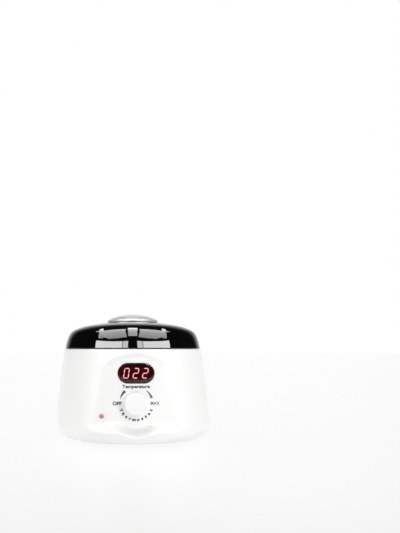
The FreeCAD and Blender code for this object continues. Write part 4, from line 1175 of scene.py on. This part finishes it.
@dataclass
class PanelPrint:
    """The generic captions and the scale printed round the knob."""

    panel: float = 73.0
    thickness: float = 0.03
    knob_centre: float = 44.0
    ring: float = 16.7
    arched_squeeze: float = 1.1
    arched_weight: float = 0.29

    def words(self, text: str, size: float, place: Matrix, squeeze: float, weight: float) -> Mesh:
        """Make words as a thin mesh that stands on the panel.

        Args:
            text: the words.
            size: the letters' size in millimetres.
            place: where their middle goes, in the panel's plane.
            squeeze: their width as a share of the usual.
            weight: how much bolder than usual their strokes are, in millimetres.

        Returns:
            The mesh.
        """
        curve = bpy.data.curves.new("words", "FONT")
        curve.body = text
        curve.size = size * MM
        curve.align_x = "CENTER"
        curve.align_y = "CENTER"
        curve.extrude = self.thickness * MM / 2
        curve.offset = weight * MM
        curve.resolution_u = 3
        holder = bpy.data.objects.new("words", curve)
        bpy.context.scene.collection.objects.link(holder)
        graph = bpy.context.evaluated_depsgraph_get()
        mesh = bpy.data.meshes.new_from_object(holder.evaluated_get(graph))
        bpy.data.objects.remove(holder)
        bpy.data.curves.remove(curve)
        mesh.transform(Matrix.Diagonal((squeeze, 1, 1, 1)))
        return move_mesh(mesh, at(0, -self.panel, 0) @ place @ OUT_OF_FRONT)

    def wedge(self, first: float, last: float, thin: float, thick: float) -> Mesh:
        """Make an arc round the knob that grows thicker clockwise.

        Args:
            first: its thin end, in degrees clockwise from the top.
            last: its thick end.
            thin: the width there.
            thick: the width at the thick end.

        Returns:
            The mesh.
        """
        steps = 14
        rows: list[list[Vector]] = []
        for y in (-self.panel, -self.panel - self.thickness):
            outer, inner = [], []
            for step in range(steps + 1):
                turn = math.radians(first + (last - first) * step / steps)
                half = (thin + (thick - thin) * step / steps) / 2
                aim = Vector((math.sin(turn), 0, math.cos(turn)))
                outer.append(aim * (self.ring + half) + Vector((0, y, self.knob_centre)))
                inner.append(aim * (self.ring - half) + Vector((0, y, self.knob_centre)))
            rows.append(outer + inner[::-1])
        return finish_mesh("wedge", loft(rows))

    def arched(self, text: str, size: float, middle: float, step: float) -> list[Mesh]:
        """Set letters one by one under the knob, their feet outward.

        Args:
            text: the word.
            size: the letters' size in millimetres.
            middle: the radius of the word's middle line.
            step: the turn from letter to letter, in degrees.

        Returns:
            One mesh for each letter.
        """
        letters = []
        for index, letter in enumerate(text):
            degrees = (index - (len(text) - 1) / 2) * step
            turn = math.radians(degrees)
            spot = at(middle * math.sin(turn), 0, self.knob_centre - middle * math.cos(turn))
            place = spot @ Matrix.Rotation(-turn, 4, "Y")
            letters.append(self.words(letter, size, place, self.arched_squeeze, self.arched_weight))
        return letters

    def build(self) -> None:
        """Make the dark and the paler print."""
        dark = [
            self.words("Temperature", size=4.6, place=at(0, 0, 60.8), squeeze=1.13, weight=0.2),
            self.words("OFF", size=4.9, place=at(-19.2, 0, 43.7), squeeze=1.04, weight=0.26),
            self.wedge(first=-74, last=-42, thin=0.6, thick=3.1),
            *self.arched("Thermostat", size=4.2, middle=16.8, step=14.4),
        ]
        pale = [
            self.words("MAX", size=4.6, place=at(19.2, 0, 43.8), squeeze=0.92, weight=0.12),
            self.wedge(first=38, last=72, thin=0.5, thick=2.8),
        ]
        for name, parts, ink in (("panel_print", dark, INK), ("panel_print_pale", pale, PALE_INK)):
            add_piece(name, joined(name, parts), Body.HOUSING, ink)


# ---------------------------------------------------------------- knob and pilot light


@dataclass
class Knob:
    """The round white knob, hollow behind to clear the bushing's nut."""

    radius: float = 12.25
    front_radius: float = 11.5
    length: float = 15.1
    edge: float = 1.8
    base: float = 73.4
    centre: float = 44.0
    bore: float = 3.6
    bore_depth: float = 12.5
    hollow: float = 8.6
    hollow_depth: float = 4.4
    dish_radius: float = 8.0
    dish_round: float = 6.0
    dish: float = 0.35

    def mesh(self) -> Mesh:
        """Build the knob with a shallow dish in its face."""
        profile = rounded(
            [
                (0, self.bore_depth),
                (self.bore, self.bore_depth),
                (self.bore, self.hollow_depth),
                (self.hollow, self.hollow_depth),
                (self.hollow, 0),
                (self.radius, 0, 0.4),
                (self.front_radius, self.length, self.edge),
                (self.dish_radius, self.length, self.dish_round),
                (0, self.length - self.dish),
            ],
            8,
        )
        return move_mesh(lathe("knob", profile, 96), at(0, -self.base, self.centre, OUT_OF_FRONT))

    def build(self) -> None:
        """Make the knob and dress it."""
        add_piece("control_knob", self.mesh(), Body.KNOB, SATIN_ABS, ["knob"])


@dataclass
class PilotLight:
    """The small red lens at the lower left of the panel."""

    side: float = -35.0
    centre: float = 31.0
    radius: float = 2.5
    back: float = 66.0
    front: float = 74.2
    bore: float = 1.75
    bore_depth: float = 5.5
    dome_round: float = 2.0
    dome: float = 0.1

    def mesh(self) -> Mesh:
        """Build the hollow domed lens."""
        length = self.front - self.back
        profile = rounded(
            [
                (0, self.bore_depth),
                (self.bore, self.bore_depth),
                (self.bore, 0),
                (self.radius, 0, 0.2),
                (self.radius, length, self.dome_round),
                (0, length + self.dome),
            ],
            8,
        )
        return move_mesh(lathe("pilot", profile, 48), at(self.side, -self.back, self.centre, OUT_OF_FRONT))

    def build(self) -> None:
        """Make the lens and dress it."""
        add_piece("pilot_light_lens", self.mesh(), Body.HOUSING, PILOT_RED, ["pilot_lens"])


# ---------------------------------------------------------------- base


@dataclass
class Base:
    """The feet and the screws under the vented plate."""

    bottom: float = 1.8
    foot_ring: float = 45.0
    foot_radius: float = 7.0
    dish_radius: float = 3.6
    dish: float = 0.25
    dish_edge: float = 4.4
    stem: float = 2.1
    stem_top: float = 4.1
    screw_ring: float = 58.0
    head_radius: float = 3.2
    head_tall: float = 1.6
    shank: float = 1.58
    screw_length: float = 8.7
    slot_half_length: float = 1.9
    slot_half_width: float = 0.4
    slot_depth: float = 0.9

    def foot_mesh(self) -> Mesh:
        """Build one foot with a dished sole and a push-in stem."""
        profile = rounded(
            [
                (0, self.dish),
                (self.dish_radius, self.dish, 0.3),
                (self.dish_edge, 0, 0.3),
                (self.foot_radius, 0, 0.6),
                (self.foot_radius - 0.3, self.bottom, 0.3),
                (self.stem, self.bottom),
                (self.stem, self.stem_top),
                (0, self.stem_top),
            ],
            4,
        )
        return lathe("foot", profile, 48)

    def screw_mesh(self) -> Mesh:
        """Build one pan-head screw with a cross cut in its head."""
        radius, under, shank, end = self.head_radius, self.head_tall, self.shank, self.screw_length
        outline = [(0, 0), (radius, 0, 1.2), (radius, under), (shank, under), (shank, end), (0, end)]
        screw = move_mesh(lathe("screw", rounded(outline, 5), 40), at(0, 0, self.bottom))
        long, half = self.slot_half_length, self.slot_half_width
        bar = [(-long, -half), (long, -half), (long, half), (-long, half)]
        levels = (self.bottom - 1, self.bottom + self.slot_depth)
        arms = []
        for turn in (0.0, math.pi / 2):
            rows = [[Vector((x, y, z)) for x, y in bar] for z in levels]
            arm = finish_mesh("arm", loft(rows))
            arm.transform(Matrix.Rotation(turn, 4, "Z"))
            arms.append(arm)
        return cut_holes(screw, arms)

    def build(self) -> None:
        """Make the feet and the screws."""
        feet = RingRepeat(4, self.foot_ring, 45.0).apply("feet", self.foot_mesh(), RUBBER)
        add_piece("feet", feet, Body.HOUSING, RUBBER, ["rubber_feet"])
        screws = RingRepeat(4, self.screw_ring, 45.0).apply("screws", self.screw_mesh(), ZINC)
        add_piece("plate_screws", screws, Body.HOUSING, ZINC, ["base_screws"])


# ---------------------------------------------------------------- collar and pot


@dataclass
class Collar:
    """The dark ring between the shell and the well, with the bead that centres the lid."""

    inner: float = 57.8
    outer: float = 74.0
    bottom: float = 95.5
    top: float = 98.6
    recess: float = 63.2
    bead_inner: float = 70.4
    bead_outer: float = 72.4
    bead: float = 2.0
    recess_depth: float = 1.0

    def build(self) -> None:
        """Make the ring and dress it."""
        profile = rounded(
            [
                (self.inner, self.bottom, 0.3),
                (self.outer, self.bottom, 0.3),
                (self.outer, self.top, 0.5),
                (self.bead_outer, self.top, 0.4),
                (self.bead_outer, self.top + self.bead, 0.8),
                (self.bead_inner, self.top + self.bead, 0.8),
                (self.bead_inner, self.top, 0.4),
                (self.recess, self.top, 0.3),
                (self.recess, self.top - self.recess_depth, 0.2),
                (self.inner, self.top - self.recess_depth, 0.4),
            ],
            4,
            closed=True,
        )
        mesh = lathe("collar", profile, 128, loop=True)
        add_piece("well_collar", mesh, Body.HOUSING, COLLAR_PBT, ["collar_ring"])


@dataclass
class WaxPot:
    """The spun pot with a rolled rim, and the rivets of its two lugs."""

    inner: float = 54.5
    wall: float = 1.0
    floor: float = 43.4
    seat: float = 98.6
    rim: float = 64.4
    bead: float = 2.4
    floor_round: float = 10.0
    rivet_place: float = 58.3
    rivet_spread: float = 4.6
    lug: float = 1.0
    rivet_stem: float = 1.1
    rivet_length: float = 2.0
    rivet_head: float = 1.9
    rivet_tall: float = 0.7

    def pot_mesh(self) -> Mesh:
        """Build the pot from the middle of its floor out, over the rim and back under it."""
        outer = self.inner + self.wall
        top = self.seat + self.wall
        profile = rounded(
            [
                (0, self.floor + self.wall),
                (self.inner, self.floor + self.wall, self.floor_round - self.wall),
                (self.inner, top, 0.8),
                (self.rim - self.bead, top, 0.5),
                (self.rim - self.bead, self.seat + self.bead, 1.1),
                (self.rim, self.seat + self.bead, 1.1),
                (self.rim, self.seat, 0.9),
                (outer, self.seat, 0.4),
                (outer, self.floor, self.floor_round),
                (0, self.floor),
            ],
            10,
        )
        return lathe("pot", profile, 144)

    def rivet_mesh(self) -> Mesh:
        """Build one round-headed rivet."""
        level = self.seat + self.wall + self.lug
        foot = level - self.rivet_length
        profile = rounded(
            [
                (0, foot),
                (self.rivet_stem, foot),
                (self.rivet_stem, level),
                (self.rivet_head, level),
                (self.rivet_head, level + self.rivet_tall, 0.65),
                (0, level + self.rivet_tall + 0.05),
            ],
            6,
        )
        return lathe("rivet", profile, 32)

    def build(self) -> None:
        """Make the pot and its rivets."""
        add_piece("pot_spun", self.pot_mesh(), Body.POT, SPUN_ALUMINIUM, ["wax_pot"])
        spread = math.degrees(math.atan2(self.rivet_spread, self.rivet_place))
        reach = math.hypot(self.rivet_spread, self.rivet_place)
        pairs = []
        for side in (-1, 1):
            ring = RingRepeat(2, reach, side * spread)
            pairs.append(ring.apply("rivets", self.rivet_mesh(), STAINLESS))
        rivets = joined("pot_rivets", pairs)
        add_piece("pot_rivets", rivets, Body.POT, STAINLESS, ["lug_rivets"])


@dataclass
class BailHandle:
    """The wire handle, folded back on the rim."""

    radius: float = 57.0
    bend: float = 3.0
    wire: float = 1.4
    pivot: float = 103.3
    pin_end: float = 62.6
    head: float = 2.0
    head_half: float = 0.5

    def build(self) -> None:
        """Bend the wire, add its end heads and dress it."""
        arc = [math.pi * i / 60 for i in range(61)]
        points = [Vector((self.pin_end, 0, self.pivot)), Vector((self.radius, 0, self.pivot))]
        points += [
            Vector((self.radius * math.cos(turn), self.bend + self.radius * math.sin(turn), self.pivot))
            for turn in arc
        ]
        points += [Vector((-self.radius, 0, self.pivot)), Vector((-self.pin_end, 0, self.pivot))]
        wire = RoundWire(self.wire, self.bend).apply("bail_wire", points, CHROME_WIRE)
        radius, half = self.head, self.head_half
        head = rounded([(0, -half), (radius, -half, 0.35), (radius, half, 0.35), (0, half)], 4)
        heads = []
        for side in (-1, 1):
            turn = Matrix.Rotation(math.radians(90), 4, "Y")
            heads.append(move_mesh(lathe("head", head, 32), at(side * self.pin_end, 0, self.pivot, turn)))
        mesh = joined("bail", [wire, *heads])
        add_piece("bail_wire", mesh, Body.HANDLE, CHROME_WIRE, ["bail_handle"])


# ---------------------------------------------------------------- lid


@dataclass
class Lid:
    """The domed lid: a barrelled wall, a round shoulder and a shallow crown, one wall thick."""

    base: float = 99.3
    radius: float = 75.6
    foot_lean: float = 9.0
    # Each bend's radius, and the lean from upright in degrees where it ends.
    bends: tuple[Point, ...] = ((80.0, 17.0), (24.0, 30.0), (13.0, 62.0), (48.0, 78.0))
    wall: float = 2.2

    def outline(self) -> list[tuple[Vector, Vector]]:
        """List the outside of the lid from its foot to its middle.

        Returns:
            Points with the direction that is outward at each.
        """
        spot = Vector((self.radius, 0.0))
        lean = math.radians(self.foot_lean)
        result = [(spot, lean_direction(lean))]
        last_lean = math.radians(self.bends[-1][1])
        bends = [(radius, math.radians(end)) for radius, end in self.bends]
        for radius, end in bends:
            hub = spot - lean_direction(lean) * radius
            for step in range(1, 11):
                aim = lean_direction(lean + (end - lean) * step / 10)
                result.append((hub + aim * radius, aim))
            spot, lean = hub + lean_direction(end) * radius, end
        crown = spot.x / math.cos(last_lean)
        hub = spot - lean_direction(last_lean) * crown
        for step in range(1, 25):
            aim = lean_direction(last_lean + (math.pi / 2 - last_lean) * step / 24)
            result.append((hub + aim * crown, aim))
        return result

    def mesh(self) -> Mesh:
        """Build the lid, inside and outside, with a rounded foot."""
        outside = [point for point, _ in self.outline()]
        inside = [point - aim * self.wall for point, aim in self.outline()]
        inner_foot, outer_foot = inside[0], outside[0]
        corners = [tuple(inside[1]), (inner_foot.x, 0, 0.5), (outer_foot.x, 0, 0.8), tuple(outside[1])]
        foot = rounded(corners, 5)
        profile = [tuple(p) for p in reversed(inside[2:])] + foot + [tuple(p) for p in outside[2:]]
        profile = [(0.0 if r < 0.01 else r, z + self.base) for r, z in profile]
        return lathe("lid", profile, 192)

    def build(self) -> None:
        """Make the lid and dress it."""
        add_piece("lid_shell", self.mesh(), Body.LID, BLACK_STYRENE, ["lid_dome"])


@dataclass
class LidCap:
    """The silver-edged cap: a shallow dome with a thin edge, held just clear of the lid."""

    radius: float = 28.0
    bottom: float = 129.0
    edge: float = 2.2
    top: float = 138.0
    seat: float = 12.0
    crown: float = 130.3

    def mesh(self) -> Mesh:
        """Build the cap from the middle of its seat, round the edge and over the dome."""
        rise = self.top - self.bottom - self.edge
        dome = (self.radius**2 + rise**2) / (2 * rise)
        limit = math.asin((self.radius - 0.2) / dome)
        steps = 26
        turns = [limit * (1 - i / steps) for i in range(steps + 1)]
        over = [(dome * math.sin(turn), self.top - dome * (1 - math.cos(turn))) for turn in turns]
        edge = rounded(
            [
                (self.seat, self.crown),
                (self.radius - 1.2, self.bottom, 0.3),
                (self.radius, self.bottom + 0.1, 0.3),
                (self.radius, over[0][1] - 0.2, 0.15),
                over[0],
            ],
            6,
        )
        profile = [(0, self.crown), *edge, *over[1:]]
        profile = [(0.0 if r < 0.01 else r, z) for r, z in profile]
        return lathe("cap", profile, 160)

    def build(self) -> None:
        """Make the cap and dress it."""
        add_piece("lid_cap_plated", self.mesh(), Body.LID, SILVER_LACQUER, ["lid_cap"])


# ---------------------------------------------------------------- frame nodes that keep their shape


NODE_FINISHES: dict[str, Finish] = {
    "base_plate": BASE_ABS,
    "heater_well": ANODISED,
    "band_heater": CLAD_STEEL,
    "heater_bolt": ZINC,
    "insulation_blanket": GLASS_CLOTH,
    "heat_shield": ZINC,
    "shield_posts": ZINC,
    "post_screws": ZINC,
    "shield_screws": ZINC,
    "well_stud": ZINC,
    "well_spacer": CERAMIC,
    "well_nut": ZINC,
    "thermostat_bulb": COPPER,
    "display_probe": COPPER,
    "thermal_fuse": ZINC,
    "led_module": MODULE_FACE,
    "display_board": GREEN_BOARD,
    "driver_chip": BLACK_EPOXY,
    "display_screws": ZINC,
    "thermostat_body": PHENOLIC,
    "thermostat_nut": NICKEL,
    "thermostat_spindle": SPRING_STEEL,
    "knob_clip": SPRING_STEEL,
    "pilot_lamp": LAMP_GLASS,
    "pilot_clip": SPRING_STEEL,
    "power_board": GREEN_BOARD,
    "transformer": CORE_STEEL,
    "relay": BLUE_CASE,
    "capacitor": DARK_SLEEVE,
    "terminal_block": GREEN_NYLON,
    "board_screws": ZINC,
    "cord_gland": NYLON,
    "cord_clamp": NYLON,
    "clamp_screws": ZINC,
    "handle_lugs": STAINLESS,
    "cap_washer": ZINC,
    "cap_screw": ZINC,
}


def dress_nodes() -> None:
    """Give every node that keeps its own shape the finish of the real piece."""
    for name, finish in NODE_FINISHES.items():
        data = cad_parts[name].data
        if not data.materials:
            data.materials.append(finish.material())
        for index in range(len(data.materials)):
            data.materials[index] = finish.material()
        LOG.info("%-22s keeps its shape, dressed as %s", name, finish.name)


# ---------------------------------------------------------------- studio


# Outlines of the cards hung over the pot, across and away, as shares of the ceiling's height.
PANEL_CARD = [
    (0.08, 0.40),
    (0.24, -1.23),
    (0.69, -1.36),
    (1.17, -1.21),
    (1.26, -0.82),
    (0.80, -0.20),
    (0.50, 0.21),
]
EDGE_CARD = [
    (0.31, 0.90),
    (0.44, 0.31),
    (0.82, -0.32),
    (1.42, -0.95),
    (1.63, -0.79),
    (0.93, -0.20),
    (0.70, 0.05),
    (0.73, 0.28),
    (0.58, 0.27),
    (0.37, 0.78),
]
STRIP_CARD = [(-0.045, 0.75), (-0.09, -0.28), (-0.16, -1.0), (0.16, -1.0), (0.09, -0.28), (0.045, 0.75)]


@dataclass
class Studio:
    """A lit white table in a dark room with a white wall behind, and cards for the lid to mirror."""

    floor_size: float = 40.0
    eye_height: float = 0.098
    distance: float = 0.720
    turn_degrees: float = 2.7
    lens: float = 43.1
    across: float = 0.1263
    above: float = 0.1567
    ceiling: float = 1.5
    tent: float = 0.28
    dark: float = 0.02
    # Degrees at which the wall behind starts and is full, to the side and upward.
    wall_side: Point = (48.0, 10.0)
    wall_above: Point = (38.0, 9.0)
    aim_height: float = 0.05
    table_front: float = 1.0

    def fade(self, tree: Tree, value: Any, start: float, end: float) -> Any:
        """Ease from nought to one as a value goes from a start to an end."""
        inputs = {"Value": value, "From Min": start, "From Max": end}
        ramp = add_node(tree, "ShaderNodeMapRange", inputs, interpolation_type="SMOOTHSTEP")
        return ramp.outputs["Result"]

    def world(self) -> None:
        """Make a room that is white to look at but only has a bright wall behind in reflections."""
        world = bpy.data.worlds.new("studio_room")
        bpy.context.scene.world = world
        world.use_nodes = True
        tree = world.node_tree
        tree.nodes.clear()
        plain = add_node(tree, "ShaderNodeTexCoord").outputs["Generated"]
        inputs = {"Vector": plain, "Angle": math.radians(self.turn_degrees)}
        turned = add_node(tree, "ShaderNodeVectorRotate", inputs, rotation_type="Z_AXIS")
        parts = add_node(tree, "ShaderNodeSeparateXYZ", {"Vector": turned.outputs["Vector"]}).outputs
        level = add_node(tree, "ShaderNodeCombineXYZ", {"X": parts["X"], "Y": parts["Y"]})
        aim = add_node(tree, "ShaderNodeVectorMath", {0: level.outputs["Vector"]}, operation="NORMALIZE")
        ahead = add_node(tree, "ShaderNodeSeparateXYZ", {"Vector": aim.outputs["Vector"]}).outputs
        side = [math.cos(math.radians(degrees)) for degrees in self.wall_side]
        above = [math.sin(math.radians(degrees)) for degrees in self.wall_above]
        sides = {0: self.fade(tree, ahead["Y"], *side), 1: self.fade(tree, parts["Z"], *above)}
        wall = add_node(tree, "ShaderNodeMath", sides, operation="MULTIPLY").outputs["Value"]
        path = add_node(tree, "ShaderNodeLightPath").outputs
        glow = add_node(tree, "ShaderNodeMapRange", {"Value": wall, "To Min": self.dark, "To Max": 1.0})
        inputs = {"Factor": path["Is Diffuse Ray"], "A": glow.outputs["Result"], "B": self.tent}
        tent = add_node(tree, "ShaderNodeMix", inputs)
        inputs = {"Factor": path["Is Camera Ray"], "A": tent.outputs[0], "B": 1.0}
        shown = add_node(tree, "ShaderNodeMix", inputs)
        light = add_node(tree, "ShaderNodeBackground", {"Strength": shown.outputs["Result"]})
        light.inputs["Color"].default_value = (1, 1, 1, 1)
        add_node(tree, "ShaderNodeOutputWorld", {"Surface": light.outputs["Background"]})

    def floor(self) -> None:
        """Make the table top: opal acrylic with lamps under it, so shadows on it stay pale."""
        half = self.floor_size / 2
        mesh = bpy.data.meshes.new("table_top")
        front = -self.table_front
        corners = [(-half, front, 0), (half, front, 0), (half, half, 0), (-half, half, 0)]
        mesh.from_pydata(corners, [], [(0, 1, 2, 3)])
        table = bpy.data.objects.new("table_top", mesh)
        bpy.context.scene.collection.objects.link(table)
        mesh.materials.append(OPAL_TABLE.material())

    def lamp(self, name: str, azimuth: float, elevation: float, spread: float, power: float) -> None:
        """Add a far soft lamp that lights surfaces but isn't mirrored in them.

        Args:
            name: the lamp's name.
            azimuth: its direction, in degrees from straight ahead, to the right.
            elevation: its height, in degrees above the table.
            spread: how wide it looks, in degrees.
            power: its strength.
        """
        data = bpy.data.lights.new(name, "SUN")
        data.angle = math.radians(spread)
        data.energy = power
        lamp = bpy.data.objects.new(name, data)
        source = heading(math.radians(azimuth), math.radians(elevation))
        lamp.rotation_euler = source.to_track_quat("Z", "Y").to_euler()
        lamp.visible_glossy = False
        bpy.context.scene.collection.objects.link(lamp)

    def near_lamp(self, name: str, where: Sequence[float], size: float, power: float) -> None:
        """Add a soft lamp close by, whose light falls off across the pot.

        Args:
            name: the lamp's name.
            where: its place in metres; it points at the pot.
            size: its width in metres.
            power: its power in watts.
        """
        data = bpy.data.lights.new(name, "AREA")
        data.shape = "DISK"
        data.size = size
        data.energy = power
        lamp = bpy.data.objects.new(name, data)
        lamp.location = where
        aim = Vector((0, 0, self.aim_height)) - Vector(where)
        lamp.rotation_euler = aim.to_track_quat("-Z", "Y").to_euler()
        lamp.visible_glossy = False
        lamp.visible_camera = False
        bpy.context.scene.collection.objects.link(lamp)

    def card(self, name: str, mesh: Mesh, level: Point) -> None:
        """Add a bright card that only shows as a reflection.

        Args:
            name: the card's name.
            mesh: its shape, in place before the turn to the camera.
            level: its brightness at its front edge and at its rear edge.
        """
        mesh.transform(Matrix.Rotation(math.radians(-self.turn_degrees), 4, "Z"))
        reach = [vertex.co.y for vertex in mesh.vertices]
        glow = bpy.data.materials.new(name)
        glow.use_nodes = True
        glow.node_tree.nodes.clear()
        where = add_node(glow.node_tree, "ShaderNodeTexCoord").outputs["Object"]
        parts = add_node(glow.node_tree, "ShaderNodeSeparateXYZ", {"Vector": where})
        ends = {"From Min": min(reach), "From Max": max(reach), "To Min": level[0], "To Max": level[1]}
        ramp = add_node(glow.node_tree, "ShaderNodeMapRange", {"Value": parts.outputs["Y"], **ends})
        light = add_node(glow.node_tree, "ShaderNodeEmission", {"Strength": ramp.outputs["Result"]})
        add_node(glow.node_tree, "ShaderNodeOutputMaterial", {"Surface": light.outputs[0]})
        mesh.materials.append(glow)
        card = bpy.data.objects.new(name, mesh)
        bpy.context.scene.collection.objects.link(card)
        for kind in ("camera", "diffuse", "shadow", "transmission"):
            setattr(card, "visible_" + kind, False)

    def curved_card(self, name: str, corners: Sequence[Point], level: Point) -> None:
        """Add a card that curves round the pot at the height of the eye.

        Args:
            name: the card's name.
            corners: azimuth to the right and height, in degrees, of its four corners in order.
            level: its brightness at its front edge and at its rear edge.
        """
        columns, rows, reach = 12, 4, 3.0
        points, faces = [], []
        first, second, third, fourth = [Vector(corner) for corner in corners]
        for row in range(rows + 1):
            for column in range(columns + 1):
                near = first.lerp(second, column / columns)
                far = fourth.lerp(third, column / columns)
                turn, rise = near.lerp(far, row / rows) * math.radians(1)
                points.append(heading(turn, rise) * reach + Vector((0, 0, self.eye_height)))
        for row in range(rows):
            for column in range(columns):
                low = row * (columns + 1) + column
                faces.append((low, low + 1, low + columns + 2, low + columns + 1))
        mesh = bpy.data.meshes.new(name)
        mesh.from_pydata(points, [], faces)
        self.card(name, mesh, level)

    def hung_card(self, name: str, corners: Sequence[Point], level: Point, mirror: bool) -> None:
        """Add a flat card hung over the pot.

        Args:
            name: the card's name.
            corners: its corners, across and away, as shares of the ceiling's height.
            level: its brightness at its front edge and at its rear edge.
            mirror: whether it goes on the left instead of the right.
        """
        side = -1 if mirror else 1
        height = self.ceiling + self.eye_height
        points = [(side * x * self.ceiling, y * self.ceiling, height) for x, y in corners]
        mesh = bpy.data.meshes.new(name)
        mesh.from_pydata(points, [], [tuple(range(len(points)))])
        self.card(name, mesh, level)

    def camera(self) -> None:
        """Stand the camera a little to the left, level with the lid's foot."""
        data = bpy.data.cameras.new("camera")
        data.lens = self.lens
        data.sensor_width = 36.0
        data.clip_start = 0.01
        data.shift_x = self.across
        data.shift_y = self.above
        camera = bpy.data.objects.new("camera", data)
        bpy.context.scene.collection.objects.link(camera)
        turn = math.radians(self.turn_degrees)
        place = (-self.distance * math.sin(turn), -self.distance * math.cos(turn), self.eye_height)
        camera.location = place
        camera.rotation_euler = (math.pi / 2, 0.0, -turn)
        bpy.context.scene.camera = camera

    def build(self) -> None:
        """Set up the room, the table, the lights, the cards and the camera."""
        bpy.context.scene.view_settings.view_transform = "Standard"
        self.world()
        self.floor()
        self.near_lamp("key", where=(0.115, -0.36, 0.15), size=0.07, power=0.28)
        self.lamp("side_left", azimuth=-104, elevation=12, spread=40, power=1.6)
        self.lamp("side_right", azimuth=104, elevation=12, spread=40, power=1.25)
        self.lamp("back", azimuth=180, elevation=50, spread=40, power=0.35)
        self.lamp("overhead", azimuth=0, elevation=84, spread=60, power=0.5)
        for mirror in (True, False):
            side, name = (-1, "left") if mirror else (1, "right")
            block = [(side * 18, 10), (side * 64, 10), (side * 67.5, 25.5), (side * 18, 29)]
            self.curved_card("front_" + name, block, (12.5, 12.5))
            slot = [(side * 8, 10), (side * 17, 10), (side * 17, 29), (side * 8, 30)]
            self.curved_card("slot_" + name, slot, (10.0, 10.0))
            self.hung_card("panel_" + name, PANEL_CARD, (4.4, 7.0), mirror)
            self.hung_card("edge_" + name, EDGE_CARD, (4.0, 9.0), mirror)
        self.hung_card("strip", STRIP_CARD, (6.0, 7.5), False)
        self.camera()


def main() -> None:
    """Build every sub-assembly in order, dress the frame and set up the studio."""
    logging.basicConfig(level=logging.INFO, format="%(message)s")
    builders: list[Callable[[], None]] = [
        Studio().build,
        Housing().build,
        Window().build,
        Digits().build,
        PanelPrint().build,
        Knob().build,
        PilotLight().build,
        Base().build,
        Collar().build,
        WaxPot().build,
        BailHandle().build,
        Lid().build,
        LidCap().build,
        dress_nodes,
    ]
    for build in builders:
        build()


if __name__ == "__main__":
    main()
